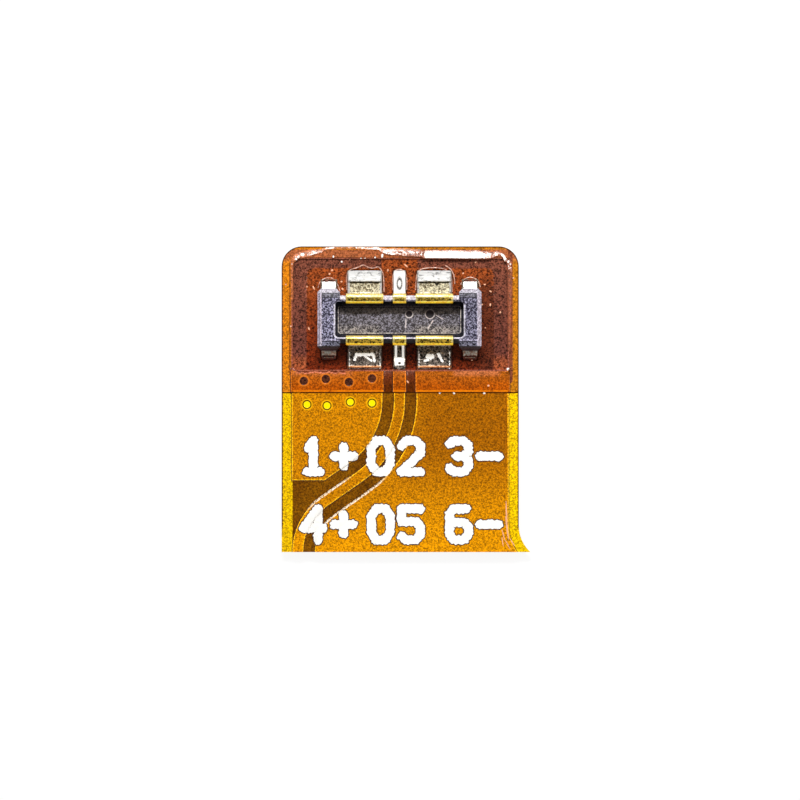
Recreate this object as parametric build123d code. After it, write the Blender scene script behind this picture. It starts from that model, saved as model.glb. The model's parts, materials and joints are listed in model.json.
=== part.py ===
from build123d import *
import math
import os

# Connector tail of a mobile phone battery: a two-layer flexible circuit with a soldered
# board-to-board plug at its tip. Lengths are in millimetres.
# The origin is on the stiffener's underside, below the centre of the plug. +Z points out of
# the plug's mating side, +Y runs from the tail's root to its tip, and +X points to the right.

# Outline of the flexible circuit, past the stiffened tip half
free_length = 5.76
tip_corner_radius = 0.72
flare_radius = 1.33
flare_height = 0.97
copper_margin = 0.39

# Thickness of each layer, from the underside up
stiffener_thickness = 0.20
adhesive_thickness = 0.05
bottom_film_thickness = 0.03
bottom_copper_thickness = 0.035
base_film_thickness = 0.05
top_copper_thickness = 0.07
gap_cover_thickness = 0.06
copper_cover_thickness = 0.05
cover_side_thickness = 0.03
reinforcing_film_thickness = 0.04
ink_thickness = 0.02

# The bare window round the plug, and the reinforcing film and stiffener of the tip half
window_left_clearance = 0.91
window_right_clearance = 0.96
window_tip_clearance = 0.42
window_root_clearance = 0.03
window_tip_margin = 0.45
film_strip_length = 0.80
stiffener_overlap = 0.02
window_corner_radius = 0.15
window_setback = 0.05

# Top copper: two power planes with the ident trace between them
trace_width = 0.34
trace_gap = 0.47
trace_bend_start = 0.30
trace_upper_radius = 3.35
trace_lower_radius = 2.20
trace_bend_angle = 55.0
trace_slant_length = 1.58
positive_plane_length = 3.15

# Bottom copper: bands round the window, and the thermistor trace between the power nets
band_width = 0.50
band_tip_width = 0.33
band_break = 1.30
bottom_gap = 0.20
thermistor_trace_offset = 1.10
thermistor_trace_width = 0.30

# Plated holes in the positive plane. Each is its distance in from the circuit's left edge,
# and its distance from the window's edge in the upper row, or from the film's edge in the lower
via_hole_radius = 0.14
via_wall = 0.035
upper_vias = [(0.80, 0.40), (1.59, 0.33), (2.42, 0.44), (3.25, 0.31)]
lower_vias = [(0.91, 0.45), (1.63, 0.49), (2.47, 0.36), (3.25, 0.40)]
pad_via_radius = 0.10

# Plug housing
housing_height = 0.80
end_wall = 0.64
block_length = 0.80
block_width = 2.23
block_corner_chamfer = 0.13
block_ramp_length = 0.19
block_ramp_drop = 0.05
block_bevel_length = 0.16
block_bevel_height = 0.24
block_side_bevel = 0.15
wall_thickness = 0.22
recess_end_gap = 0.38
recess_width = 1.28
recess_corner_radius = 0.12
recess_floor = 0.25
ledge_height = 0.12
ledge_end_width = 0.12
ledge_side_width = 0.17
rim_chamfer = 0.04
ejector_mark_radius = 0.12
ejector_mark_depth = 0.02
ejector_mark_columns = [0.34, 1.10]
ejector_mark_row = 0.20

# Contacts
contact_pitch = 1.25
sheet_thickness = 0.07
bend_radius = 0.06
power_saddle_width = 1.34
power_tail_width = 1.19
signal_saddle_width = 0.48
signal_tail_width = 0.39
saddle_drop = 0.22
tail_length = 0.70
solder_film = 0.02

# Solder joints and pads
pad_side_margin = 0.03
pad_inner_margin = 0.04
pad_toe = 0.14
solder_climb = 0.32
solder_crown = 0.035

# Fittings that hold the two ends of the plug down
fitting_width = 0.50
fitting_thickness = 0.10
fitting_foot = 0.25
fitting_corner_chamfer = 0.08
fitting_barb_width = 0.14
fitting_barb_height = 0.20
fitting_barb_length = 0.90
fitting_pad_margin = 0.09
foot_solder_width = 0.07

# Terminal marks: contact numbers with polarity signs, printed in two rows
glyph_stroke = 0.27
glyph_half_width = 0.34
glyph_half_height = 0.56
sign_half_size = 0.34
sign_pitch = 1.09
mark_left_inset = 1.14
mark_right_inset = 1.06
mark_middle = -0.13
mark_rows = [(2.31, ["1", "+", "0", "2", "3", "-"]), (4.76, ["4", "+", "0", "5", "6", "-"])]

# Levels of the stack, from the table up
bottom_cover_z = stiffener_thickness + adhesive_thickness
bottom_copper_z = bottom_cover_z + bottom_film_thickness
base_film_z = bottom_copper_z + bottom_copper_thickness
top_copper_z = base_film_z + base_film_thickness
board_z = top_copper_z + top_copper_thickness
gap_cover_z = top_copper_z + gap_cover_thickness
copper_cover_z = board_z + copper_cover_thickness
plug_z = board_z + solder_film
plug_top_z = plug_z + housing_height

# Places worked out from the sizes above, from the plug outwards
wall_inner_y = recess_width / 2
wall_outer_y = wall_inner_y + wall_thickness
tail_start_y = wall_outer_y + sheet_thickness
tail_end_y = tail_start_y + tail_length
pad_start_y = wall_outer_y + pad_inner_margin
pad_end_y = tail_end_y + pad_toe
recess_half = contact_pitch + power_saddle_width / 2 + recess_end_gap
housing_half = recess_half + end_wall
fitting_x = housing_half - block_length / 2
ledge_z = plug_z + recess_floor + ledge_height
window_left_x = -housing_half - window_left_clearance
window_right_x = housing_half + window_right_clearance
window_tip_y = pad_end_y + window_tip_clearance
window_y = -pad_end_y - window_root_clearance
left_x = window_left_x - copper_margin
right_x = window_right_x + copper_margin
tip_y = window_tip_y + window_tip_margin
film_edge_y = window_y - film_strip_length
root_y = film_edge_y - free_length
trace_bend_y = film_edge_y - trace_bend_start
plane_end_y = film_edge_y - positive_plane_length
band_tip_y = window_tip_y - band_tip_width
channel_half = trace_width / 2 + trace_gap
far = 4 * (tip_y - root_y)


def prism(face, low, high):
    """The face carried up from one level to another."""
    return extrude(Pos(0, 0, low) * face, high - low)


def rectangle(x_low, y_low, x_high, y_high):
    """A face between two corners."""
    centre = Pos((x_low + x_high) / 2, (y_low + y_high) / 2)
    return centre * Rectangle(x_high - x_low, y_high - y_low)


def outline(margin):
    """The circuit's outline moved in by a margin at its sides and tip, with the flare right of its root."""
    left = left_x + margin
    right = right_x - margin
    tip = tip_y - margin
    corner = max(tip_corner_radius - margin, window_corner_radius)
    turn = flare_radius + margin
    spread = turn - math.sqrt(turn**2 - flare_height**2)
    half_angle = math.asin(flare_height / turn) / 2
    flare_top = root_y + flare_height
    flare_middle = (right + turn - turn * math.cos(half_angle), flare_top - turn * math.sin(half_angle))
    bend = corner * (1 - math.sqrt(0.5))
    edges = [
        Line((left, root_y), (left, tip - corner)),
        ThreePointArc((left, tip - corner), (left + bend, tip - bend), (left + corner, tip)),
        Line((left + corner, tip), (right - corner, tip)),
        ThreePointArc((right - corner, tip), (right - bend, tip - bend), (right, tip - corner)),
        Line((right, tip - corner), (right, flare_top)),
        ThreePointArc((right, flare_top), flare_middle, (right + spread, root_y)),
        Line((right + spread, root_y), (left, root_y)),
    ]
    return make_face(edges)


def window(grow):
    """The bare window in the cover film round the plug."""
    face = rectangle(window_left_x - grow, window_y - grow, window_right_x + grow, window_tip_y + grow)
    return fillet(face.vertices(), window_corner_radius)


def rail(offset):
    """A line that runs beside the ident trace at a constant distance, positive towards +X."""
    turn = math.radians(trace_bend_angle)
    upper = trace_upper_radius + offset
    lower = trace_lower_radius - offset
    upper_centre = Vector(-trace_upper_radius, trace_bend_y)
    slant = Vector(-math.sin(turn), -math.cos(turn))
    side = Vector(math.cos(turn), -math.sin(turn))
    upper_end = upper_centre + side * upper
    lower_start = upper_end + slant * trace_slant_length
    lower_centre = lower_start + side * lower
    upper_middle = Vector(math.cos(turn / 2), -math.sin(turn / 2)) * upper
    lower_middle = Vector(-math.cos(turn / 2), math.sin(turn / 2)) * lower
    lower_end = lower_centre - Vector(lower, 0)
    return [
        Line((offset, tip_y), (offset, trace_bend_y)),
        ThreePointArc((offset, trace_bend_y), upper_centre + upper_middle, upper_end),
        Line(upper_end, lower_start),
        ThreePointArc(lower_start, lower_centre + lower_middle, lower_end),
        Line(lower_end, (lower_end.X, -far)),
    ]


def beside_rail(offset, side_x):
    """All that lies on one side of a rail."""
    edges = rail(offset)
    start = edges[0] @ 0
    end = edges[-1] @ 1
    closing = Polyline(end, (side_x, end.Y), (side_x, start.Y), start)
    return make_face([*edges, *closing.edges()])


def contact_places():
    """Net, place along the plug, saddle width and tail width of the three contacts in a row."""
    return [
        ("positive", -contact_pitch, power_saddle_width, power_tail_width),
        ("signal", 0, signal_saddle_width, signal_tail_width),
        ("negative", contact_pitch, power_saddle_width, power_tail_width),
    ]


def pad(x, tail_wide, end_y):
    """A bare copper pad under one tail of the upper row."""
    half = tail_wide / 2 + pad_side_margin
    return rectangle(x - half, pad_start_y, x + half, end_y)


def plane_faces(grow):
    """The three nets of the top copper below the window, widened where a cover drapes over their sides."""
    zone = outline(copper_margin - grow) & rectangle(-far, -far, far, window_y + grow)
    above_end = rectangle(-far, plane_end_y - grow, far, far)
    trace = beside_rail(trace_width / 2 + grow, -far) & beside_rail(-trace_width / 2 - grow, far)
    return {
        "positive": zone & beside_rail(-channel_half + grow, -far) & above_end,
        "signal": zone & trace,
        "negative": zone & beside_rail(channel_half - grow, far),
    }


def top_copper():
    """Top copper nets, each with its pad for the lower contact row, drilled for the plated holes."""
    solids = {}
    faces = plane_faces(0)
    for name, x, _, tail_wide in contact_places():
        tongue = mirror(pad(x, tail_wide, -window_y), Plane.XZ)
        solids[name] = prism(faces[name] + tongue, top_copper_z, board_z) - via_holes(top_copper_z, board_z)
    return solids


def upper_pads():
    """The three pads of the upper contact row."""
    return [prism(pad(x, wide, pad_end_y), top_copper_z, board_z) for _, x, _, wide in contact_places()]


def fitting_pads():
    """Four pads under the feet of the two fittings."""
    half = fitting_width / 2 + fitting_pad_margin / 2
    low = block_width / 2 - fitting_pad_margin
    high = block_width / 2 + fitting_foot + fitting_pad_margin
    upper = [rectangle(x - half, low, x + half, high) for x in (-fitting_x, fitting_x)]
    lower = [mirror(face, Plane.XZ) for face in upper]
    return [prism(face, top_copper_z, board_z) for face in upper + lower]


def via_places():
    """Centres of the plated holes."""
    upper = [(left_x + x, window_y - y) for x, y in upper_vias]
    lower = [(left_x + x, film_edge_y - y) for x, y in lower_vias]
    return upper + lower


def via_holes(low, high):
    """The drilled cylinders of the plated holes."""
    return [prism(Pos(x, y) * Circle(via_hole_radius), low, high) for x, y in via_places()]


def via_barrels():
    """Copper tubes that line the plated holes from the bottom copper to the top copper."""
    ring = Circle(via_hole_radius) - Circle(via_hole_radius - via_wall)
    return [prism(Pos(x, y) * ring, bottom_copper_z, board_z) for x, y in via_places()]


def pad_via_places():
    """Where the upper pads are joined down to the bottom copper."""
    return [(x, pad_end_y - 2 * pad_via_radius) for _, x, _, _ in contact_places()]


def pad_plugs():
    """Filled copper plugs through the base film under the upper pads."""
    return [prism(Pos(x, y) * Circle(pad_via_radius), base_film_z, top_copper_z) for x, y in pad_via_places()]


def bottom_copper():
    """Bottom copper: both power nets in bands round the window, and the thermistor trace between them."""
    hollow = rectangle(window_left_x + band_width, window_y, window_right_x - band_width, band_tip_y)
    split = rectangle(-band_break / 2, window_y, band_break / 2, far)
    via_half = pad_via_radius + cover_side_thickness
    via_y = pad_via_places()[0][1]
    trace_half = thermistor_trace_width / 2
    lane_half = trace_half + bottom_gap
    jog_y = (window_y + film_edge_y) / 2

    def thermistor_route(half, low_y, high_y):
        entry = rectangle(-half, jog_y - half, half, high_y)
        jog = rectangle(-half, jog_y - half, thermistor_trace_offset + half, jog_y + half)
        run = rectangle(thermistor_trace_offset - half, low_y, thermistor_trace_offset + half, jog_y + half)
        return entry + jog + run

    power = outline(copper_margin) - hollow - split - thermistor_route(lane_half, -far, window_y)
    tongues = [rectangle(x - via_half, via_y - via_half, x + via_half, band_tip_y)
               for x, _ in pad_via_places() if x != 0]
    halves = (power + tongues).faces().sort_by(Axis.X)
    trace = thermistor_route(trace_half, root_y, via_y + via_half)
    nets = {
        "positive": prism(halves[0], bottom_copper_z, base_film_z),
        "negative": prism(halves[-1], bottom_copper_z, base_film_z),
        "thermistor": prism(trace, bottom_copper_z, base_film_z),
    }
    nets["positive"] = nets["positive"] - via_holes(bottom_copper_z, base_film_z)
    return nets


def relief(lift):
    """A body whose top follows the copper: level over the gaps, and higher over each net."""
    body = prism(outline(0), top_copper_z, gap_cover_z + lift)
    for face in plane_faces(cover_side_thickness + lift).values():
        body = body + prism(face, top_copper_z, copper_cover_z + lift)
    return body & prism(outline(0), top_copper_z, copper_cover_z + lift)


def top_cover(nets):
    """Top cover film and its adhesive, which drapes over the copper and is open in the window."""
    opening = prism(window(0), top_copper_z, copper_cover_z)
    return relief(0) - opening - list(nets.values()) - via_holes(top_copper_z, board_z)


def reinforcing_film():
    """A second film over the tip half of the cover, with its own larger window."""
    region = (outline(0) & rectangle(-far, film_edge_y, far, far)) - window(window_setback)
    top = copper_cover_z + reinforcing_film_thickness
    return (relief(reinforcing_film_thickness) & prism(region, top_copper_z, top)) - relief(0)


def base_film():
    """The carrier film, drilled for the plated holes and the pad plugs."""
    body = prism(outline(0), base_film_z, top_copper_z)
    return body - via_holes(base_film_z, top_copper_z) - pad_plugs()


def bottom_cover(nets):
    """Bottom cover film, which fills the space round the bottom copper."""
    body = prism(outline(0), bottom_cover_z, base_film_z) - list(nets.values())
    return body - via_holes(bottom_copper_z, base_film_z)


def stiffener_outline():
    """The part of the circuit's outline that the stiffener backs."""
    return outline(0) & rectangle(-far, film_edge_y - stiffener_overlap, far, far)


def contact(saddle_wide, tail_wide):
    """One contact of the upper row: sheet folded over the wall, narrower where it lies on its pad."""
    half = sheet_thickness / 2
    inner = wall_inner_y - half
    outer = wall_outer_y + half
    top = plug_top_z + half
    bend = bend_radius + half
    low = plug_z + half
    middle = FilletPolyline((inner, ledge_z), (inner, top), (outer, top), (outer, low), (tail_end_y, low), radius=bend)
    section = Plane.YZ * make_face(offset(middle, half, side=Side.BOTH).edges())
    narrow = extrude(section, tail_wide / 2, both=True)
    wide = extrude(section, saddle_wide / 2, both=True)
    return narrow + (wide & prism(rectangle(-far, -far, far, far), plug_top_z - saddle_drop, far))


def solder_joint(tail_wide):
    """Solder on one pad of the upper row: a film under the tail and a crowned fillet over its end."""
    climb_y = tail_end_y - solder_climb
    tail_top = plug_z + sheet_thickness
    crown_y = climb_y + solder_climb / 2
    toe = (pad_end_y, plug_z)
    rise = ThreePointArc(
        (climb_y, tail_top),
        (crown_y, tail_top + solder_crown),
        (tail_end_y, tail_top + solder_crown / 2),
    )
    edges = [
        *Polyline((tail_end_y, tail_top + solder_crown / 2), toe, (pad_end_y, board_z), (pad_start_y, board_z),
                  (pad_start_y, plug_z), (climb_y, plug_z), (climb_y, tail_top)).edges(),
        rise,
    ]
    return extrude(Plane.YZ * make_face(edges), tail_wide / 2 + pad_side_margin / 2, both=True)


def fitting():
    """One hold-down fitting: a flat bar across the plug's end block, with a barb up into the moulding."""
    reach = block_width / 2 + fitting_foot
    foot = chamfer(Rectangle(fitting_width, 2 * reach).vertices(), fitting_corner_chamfer)
    barb = Rectangle(fitting_barb_width, fitting_barb_length)
    body = prism(foot, plug_z, plug_z + fitting_thickness)
    return body + prism(barb, plug_z, plug_z + fitting_thickness + fitting_barb_height)


def foot_solder():
    """Solder under and in front of one foot of a fitting."""
    half = fitting_width / 2
    end_y = block_width / 2 + fitting_foot
    start_y = block_width / 2
    section = Polyline(
        (start_y, board_z), (start_y, plug_z + fitting_thickness), (end_y, plug_z + fitting_thickness),
        (end_y + foot_solder_width, board_z), (start_y, board_z),
    )
    return extrude(Plane.YZ * make_face(section.edges()), half, both=True)


def end_block():
    """The right end block of the housing, with ramps and bevels at its ends and a bevel outside."""
    low = plug_z
    top = plug_top_z
    half = block_width / 2
    bevel_y = half - block_bevel_length
    ramp_y = bevel_y - block_ramp_length
    shoulder = top - block_ramp_drop
    along = Polyline(
        (-half, low), (half, low), (half, shoulder - block_bevel_height), (bevel_y, shoulder), (ramp_y, top),
        (-ramp_y, top), (-bevel_y, shoulder), (-half, shoulder - block_bevel_height), (-half, low),
    )
    outer = housing_half
    inner = housing_half - block_length
    across = Polyline(
        (inner, low), (outer, low), (outer, top - block_bevel_height), (outer - block_side_bevel, top),
        (inner, top), (inner, low),
    )
    plan = Pos(fitting_x, 0) * chamfer(Rectangle(block_length, block_width).vertices(), block_corner_chamfer)
    side_shape = extrude(Plane.YZ * make_face(along.edges()), 2 * housing_half)
    end_shape = extrude(Plane.XZ * make_face(across.edges()), block_width, both=True)
    return prism(plan, low, top) & side_shape & end_shape


def housing(contacts, fittings):
    """The moulded housing: two end blocks joined by a tub, grooved for the contacts and the fittings."""
    floor_z = plug_z + recess_floor
    block = end_block()
    mouth = rectangle(-recess_half, -wall_inner_y, recess_half, wall_inner_y)
    mouth = fillet(mouth.vertices(), recess_corner_radius)
    ledge_x = recess_half - ledge_end_width
    ledge_y = wall_inner_y - ledge_side_width
    body = block + mirror(block, Plane.YZ) + prism(
        rectangle(-fitting_x, -wall_outer_y, fitting_x, wall_outer_y), plug_z, plug_top_z
    )
    body = body - prism(mouth, ledge_z, plug_top_z)
    rim = body.edges().filter_by(lambda edge: abs(edge.center().Z - plug_top_z) < 1e-6
                                 and abs(edge.center().X) < recess_half + 1e-6
                                 and abs(edge.center().Y) < wall_inner_y + 1e-6)
    body = chamfer(rim, rim_chamfer)
    body = body - prism(rectangle(-ledge_x, -ledge_y, ledge_x, ledge_y), floor_z, ledge_z)
    marks = [prism(Pos(x, ejector_mark_row) * Circle(ejector_mark_radius), floor_z - ejector_mark_depth, floor_z)
             for x in ejector_mark_columns]
    return body - marks - contacts - fittings


def stroke(points):
    """A printed line of constant width with round ends and corners."""
    face = None
    for start, end in zip(points, points[1:]):
        run = Vector(*end) - Vector(*start)
        middle = (Vector(*start) + Vector(*end)) / 2
        turn = math.degrees(math.atan2(run.Y, run.X))
        slot = Pos(middle.X, middle.Y) * Rot(0, 0, turn) * SlotCenterToCenter(run.length, glyph_stroke)
        face = slot if face is None else face + slot
    return face


def glyph(sign):
    """A numeral or a polarity sign, drawn as strokes about its centre."""
    w = glyph_half_width
    h = glyph_half_height
    s = sign_half_size
    lines = {
        "0": [[(-w, h / 2), (-w / 2, h), (w / 2, h), (w, h / 2), (w, -h / 2), (w / 2, -h), (-w / 2, -h),
               (-w, -h / 2), (-w, h / 2)]],
        "1": [[(-w / 2, h / 2), (0, h), (0, -h)], [(-w / 1.5, -h), (w / 1.5, -h)]],
        "2": [[(-w, h / 1.5), (-w / 2, h), (w / 2, h), (w, h / 1.5), (w, h / 5), (-w, -h), (w, -h)]],
        "3": [[(-w, h / 1.3), (-w / 2, h), (w / 2, h), (w, h / 1.5), (w, h / 4), (w / 2, 0), (w, -h / 4),
               (w, -h / 1.5), (w / 2, -h), (-w / 2, -h), (-w, -h / 1.3)], [(-w / 4, 0), (w / 2, 0)]],
        "4": [[(w / 2, -h), (w / 2, h), (-w, -h / 4), (w, -h / 4)]],
        "5": [[(w, h), (-w, h), (-w, h / 6), (w / 2, h / 6), (w, -h / 6), (w, -h / 1.5), (w / 2, -h),
               (-w / 2, -h), (-w, -h / 1.3)]],
        "6": [[(w / 1.3, h), (-w / 2, h), (-w, h / 1.5), (-w, -h / 1.5), (-w / 2, -h), (w / 2, -h),
               (w, -h / 1.5), (w, -h / 6), (w / 2, h / 8), (-w, h / 8)]],
        "+": [[(-s, 0), (s, 0)], [(0, -s), (0, s)]],
        "-": [[(-s, 0), (s, 0)]],
    }
    face = None
    for points in lines[sign]:
        line = stroke(points)
        face = line if face is None else face + line
    return face


def mark_columns():
    """Where the six signs of a row stand: a pair at each side, and a pair near the middle."""
    first = left_x + mark_left_inset
    last = right_x - mark_right_inset
    half = sign_pitch / 2
    return [first, first + sign_pitch, mark_middle - half, mark_middle + half, last - sign_pitch, last]


def terminal_marks():
    """White printed marks, a thin coat that drapes over the cover like the cover over the copper."""
    under = relief(0)
    coat = relief(ink_thickness) - under
    marks = []
    for drop, signs in mark_rows:
        for x, sign in zip(mark_columns(), signs):
            column = prism(Pos(x, film_edge_y - drop) * glyph(sign), top_copper_z, far)
            marks.extend((coat & column).solids())
    return marks


def write(name, shape):
    """Writes one sub-part, which may be a group of solids."""
    items = shape if isinstance(shape, list) else [shape]
    solids = [solid for item in items for solid in item.solids()]
    export_step(solids[0] if len(solids) == 1 else Compound(children=solids), f"parts/{name}.step")


def write_circuit():
    """Writes the layers of the flexible circuit."""
    top_nets = top_copper()
    bottom_nets = bottom_copper()
    write("stiffener", prism(stiffener_outline(), 0, stiffener_thickness))
    write("stiffener_adhesive", prism(stiffener_outline(), stiffener_thickness, bottom_cover_z))
    write("bottom_cover_film", bottom_cover(bottom_nets))
    for name, solid in bottom_nets.items():
        write(f"bottom_copper_{name}", solid)
    write("base_film", base_film())
    for name, solid in top_nets.items():
        write(f"top_copper_{'ident' if name == 'signal' else name}", solid)
    write("upper_pads", upper_pads())
    write("fitting_pads", fitting_pads())
    write("plated_holes", via_barrels())
    write("pad_plugs", pad_plugs())
    write("top_cover_film", top_cover(top_nets))
    write("reinforcing_film", reinforcing_film())
    write("terminal_marks", terminal_marks())


def write_plug():
    """Writes the plug's housing, contacts and fittings, and the solder that holds them."""
    contacts = []
    for net, x, saddle_wide, tail_wide in contact_places():
        for row, turn in (("upper", 0), ("lower", 180)):
            place = Pos(x, 0) * Rot(0, 0, turn)
            piece = place * contact(saddle_wide, tail_wide)
            name = f"{net}_{row}"
            if net == "signal":
                name = "thermistor" if row == "upper" else "ident"
            contacts.append(piece)
            write(f"contact_{name}", piece)
            write(f"solder_{name}", place * solder_joint(tail_wide) - piece)
    fittings = []
    for side, x in (("left", -fitting_x), ("right", fitting_x)):
        piece = Pos(x, 0) * fitting()
        solder = Pos(x, 0) * foot_solder()
        fittings.append(piece)
        write(f"fitting_{side}", piece)
        write(f"solder_fitting_{side}", [solder - piece, mirror(solder, Plane.XZ) - piece])
    write("plug_housing", housing(contacts, fittings))


os.makedirs("parts", exist_ok=True)
write_circuit()
write_plug()
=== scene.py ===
import json
import math
import bmesh
import bpy
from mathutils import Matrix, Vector, noise

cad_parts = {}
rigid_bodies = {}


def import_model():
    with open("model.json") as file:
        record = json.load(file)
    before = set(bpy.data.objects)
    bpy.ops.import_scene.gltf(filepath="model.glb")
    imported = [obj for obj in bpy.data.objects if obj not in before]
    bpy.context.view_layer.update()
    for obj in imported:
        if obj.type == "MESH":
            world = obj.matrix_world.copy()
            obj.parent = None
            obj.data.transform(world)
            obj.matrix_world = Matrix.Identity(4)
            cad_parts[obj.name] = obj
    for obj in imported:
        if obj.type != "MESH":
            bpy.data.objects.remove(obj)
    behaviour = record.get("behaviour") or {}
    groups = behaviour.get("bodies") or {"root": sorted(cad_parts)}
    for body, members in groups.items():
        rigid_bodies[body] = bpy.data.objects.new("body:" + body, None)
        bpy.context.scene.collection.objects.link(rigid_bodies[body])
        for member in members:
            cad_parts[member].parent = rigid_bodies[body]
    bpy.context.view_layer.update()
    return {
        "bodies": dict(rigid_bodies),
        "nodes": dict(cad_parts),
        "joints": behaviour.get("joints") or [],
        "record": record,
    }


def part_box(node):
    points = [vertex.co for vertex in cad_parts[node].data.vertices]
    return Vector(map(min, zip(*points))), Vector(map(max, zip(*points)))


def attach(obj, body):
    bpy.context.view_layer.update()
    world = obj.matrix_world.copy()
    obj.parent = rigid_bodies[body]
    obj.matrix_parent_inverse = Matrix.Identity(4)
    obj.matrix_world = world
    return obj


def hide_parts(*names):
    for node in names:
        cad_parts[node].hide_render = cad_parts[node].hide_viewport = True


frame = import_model()
nodes = frame["nodes"]
mm = 0.001

# Stiffener
# A plate of stainless steel 0.2 mm thick, backing the tip half of the circuit. It keeps the plug's
# solder joints from bending. It is cut from rolled sheet, and its face keeps the fine rolling grain.


def colour(red, green, blue):
    """A colour as a screen shows it, from 0 to 255, as the linear value that a shader takes."""
    shares = [value / 255 for value in (red, green, blue)]
    linear = [share / 12.92 if share < 0.04045 else ((share + 0.055) / 1.055) ** 2.4 for share in shares]
    return (*linear, 1)


def finish(name, roughness, **constants):
    """A new material, with its node tree and its shader."""
    material = bpy.data.materials.new(name)
    material.use_nodes = True
    shader = material.node_tree.nodes["Principled BSDF"]
    shader.inputs["Roughness"].default_value = roughness
    for socket, value in constants.items():
        shader.inputs[socket.replace("_", " ")].default_value = value
    return material, material.node_tree, shader


class Field:
    """A value, colour or direction that changes over a surface: one output of a shader node."""

    def __init__(self, socket):
        self.socket = socket
        self.tree = socket.id_data

    def __add__(self, other):
        return result("ADD", self, other)

    def __sub__(self, other):
        return result("SUBTRACT", self, other)

    def __rsub__(self, other):
        return result("SUBTRACT", other, self)

    def __mul__(self, other):
        return result("MULTIPLY", self, other)

    def __truediv__(self, other):
        return result("DIVIDE", self, other)

    def __abs__(self):
        return result("ABSOLUTE", self)


def wired(tree, kind, inputs, **settings):
    """One shader node, its settings made and its inputs set, or linked where they are fields."""
    made = tree.nodes.new("ShaderNode" + kind)
    for name, value in settings.items():
        setattr(made, name, value)
    for name, value in inputs.items():
        if isinstance(value, Field):
            tree.links.new(value.socket, made.inputs[name])
        else:
            made.inputs[name].default_value = value
    return made


def wire(tree, kind, output, inputs, **settings):
    """One output of a new shader node."""
    return Field(wired(tree, kind, inputs, **settings).outputs[output])


def feed(node, socket, field):
    """Leads a field into an input of a node."""
    field.tree.links.new(field.socket, node.inputs[socket])


def result(operation, *values):
    """The result of one sum on values, of which at least one is a field."""
    tree = next(value.tree for value in values if isinstance(value, Field))
    return wire(tree, "Math", 0, dict(enumerate(values)), operation=operation)


def larger(first, second):
    """The larger of two values."""
    return result("MAXIMUM", first, second)


def between(value, low, high):
    """0 where the value is under the low limit, 1 over the high one, and a soft step in between."""
    limits = {"Value": value, "From Min": low, "From Max": high}
    return wire(value.tree, "MapRange", "Result", limits, interpolation_type="SMOOTHSTEP")


def inside(value, low, high, soft):
    """1 between two limits, with a soft edge at each."""
    return between(value, low - soft, low + soft) * between(value, high + soft, high - soft)


def ranged(share, low, high):
    """A share from 0 to 1 as a value that runs from one end to another."""
    return wire(share.tree, "MapRange", "Result", {"Value": share, "To Min": low, "To Max": high})


def mixed(share, first, second):
    """Two colours mixed, all of the second where the share is 1."""
    return wire(share.tree, "Mix", 2, {0: share, 6: first, 7: second}, data_type="RGBA")


def place(tree):
    """The point on the surface in the frame, and its three coordinates."""
    point = wire(tree, "TexCoord", "Object", {})
    parts = wired(tree, "SeparateXYZ", {"Vector": point}).outputs
    return point, *(Field(part) for part in parts)


def bumped(shader, height, depth):
    """Gives a shader a relief of a real depth."""
    relief = {"Strength": 1.0, "Distance": depth, "Height": height}
    feed(shader, "Normal", wire(height.tree, "Bump", "Normal", relief))


def wear(material, slot, *names):
    """Puts a finish on nodes of the frame. Its slot is not used."""
    for name in names:
        nodes[name].data.materials.clear()
        nodes[name].data.materials.append(material)


def group(name, inputs, outputs):
    """A shader node group with the named inputs, a vector where no value is given, and outputs."""
    tree = bpy.data.node_groups.new(name, "ShaderNodeTree")
    for socket, value in inputs.items():
        kind = "NodeSocketVector" if value is None else "NodeSocketFloat"
        made = tree.interface.new_socket(socket, in_out="INPUT", socket_type=kind)
        if value is not None:
            made.default_value = value
    for socket in outputs:
        tree.interface.new_socket(socket, in_out="OUTPUT", socket_type="NodeSocketFloat")
    entry = {socket.name: Field(socket) for socket in tree.nodes.new("NodeGroupInput").outputs}
    return tree, entry, tree.nodes.new("NodeGroupOutput")


def grouped(effect, **inputs):
    """A shared effect placed in a material with its own values: its outputs."""
    inputs = {name.replace("_", " "): value for name, value in inputs.items()}
    made = wired(inputs["Point"].tree, "Group", inputs, node_tree=effect)
    return tuple(Field(socket) for socket in made.outputs)


grain, entry, leave = group("surface_grain", {"Point": None, "Scale": 12000.0, "Contrast": 0.2},
                            ["Shade", "Relief"])
coarse = wire(grain, "TexNoise", "Fac",
              {"Vector": entry["Point"], "Scale": entry["Scale"], "Detail": 3.0, "Roughness": 0.75,
               "Distortion": 0.6})
shade = wire(grain, "MapRange", "Result", {"Value": coarse, "From Min": 0.5 - entry["Contrast"],
                                           "From Max": entry["Contrast"] + 0.5})
feed(leave, "Shade", shade)
feed(leave, "Relief", coarse)


def grained(point, scale, contrast):
    """The fine grain at a scale, as a shade from 0 to 1 and as its own relief."""
    return grouped(grain, Point=point, Scale=scale, Contrast=contrast)


def speckled(point, tint, scale, dark, light):
    """A colour made darker and lighter by the fine grain, and the grain's relief."""
    shade, relief = grained(point, scale, 0.1)
    value = ranged(shade, dark, light)
    return wire(point.tree, "HueSaturation", "Color", {"Color": tint, "Value": value}), relief


steel, tree, shader = finish("brushed_steel", 0.32, Metallic=1.0)
point, x, y, z = place(tree)
stretched = wire(tree, "Mapping", "Vector", {"Vector": point, "Scale": (1.0, 0.03, 1.0)})
shade, relief = grained(stretched, 26000.0, 0.25)
feed(shader, "Base Color", mixed(shade, colour(150, 148, 143), colour(214, 212, 206)))
bumped(shader, relief, 0.002 * mm)
wear(steel, "stainless_steel", "stiffener")

# Stiffener adhesive
# A sheet of amber pressure-set adhesive between the stiffener and the circuit. Only its cut edge
# shows, a darker line round the tip half of the sandwich.

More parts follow.
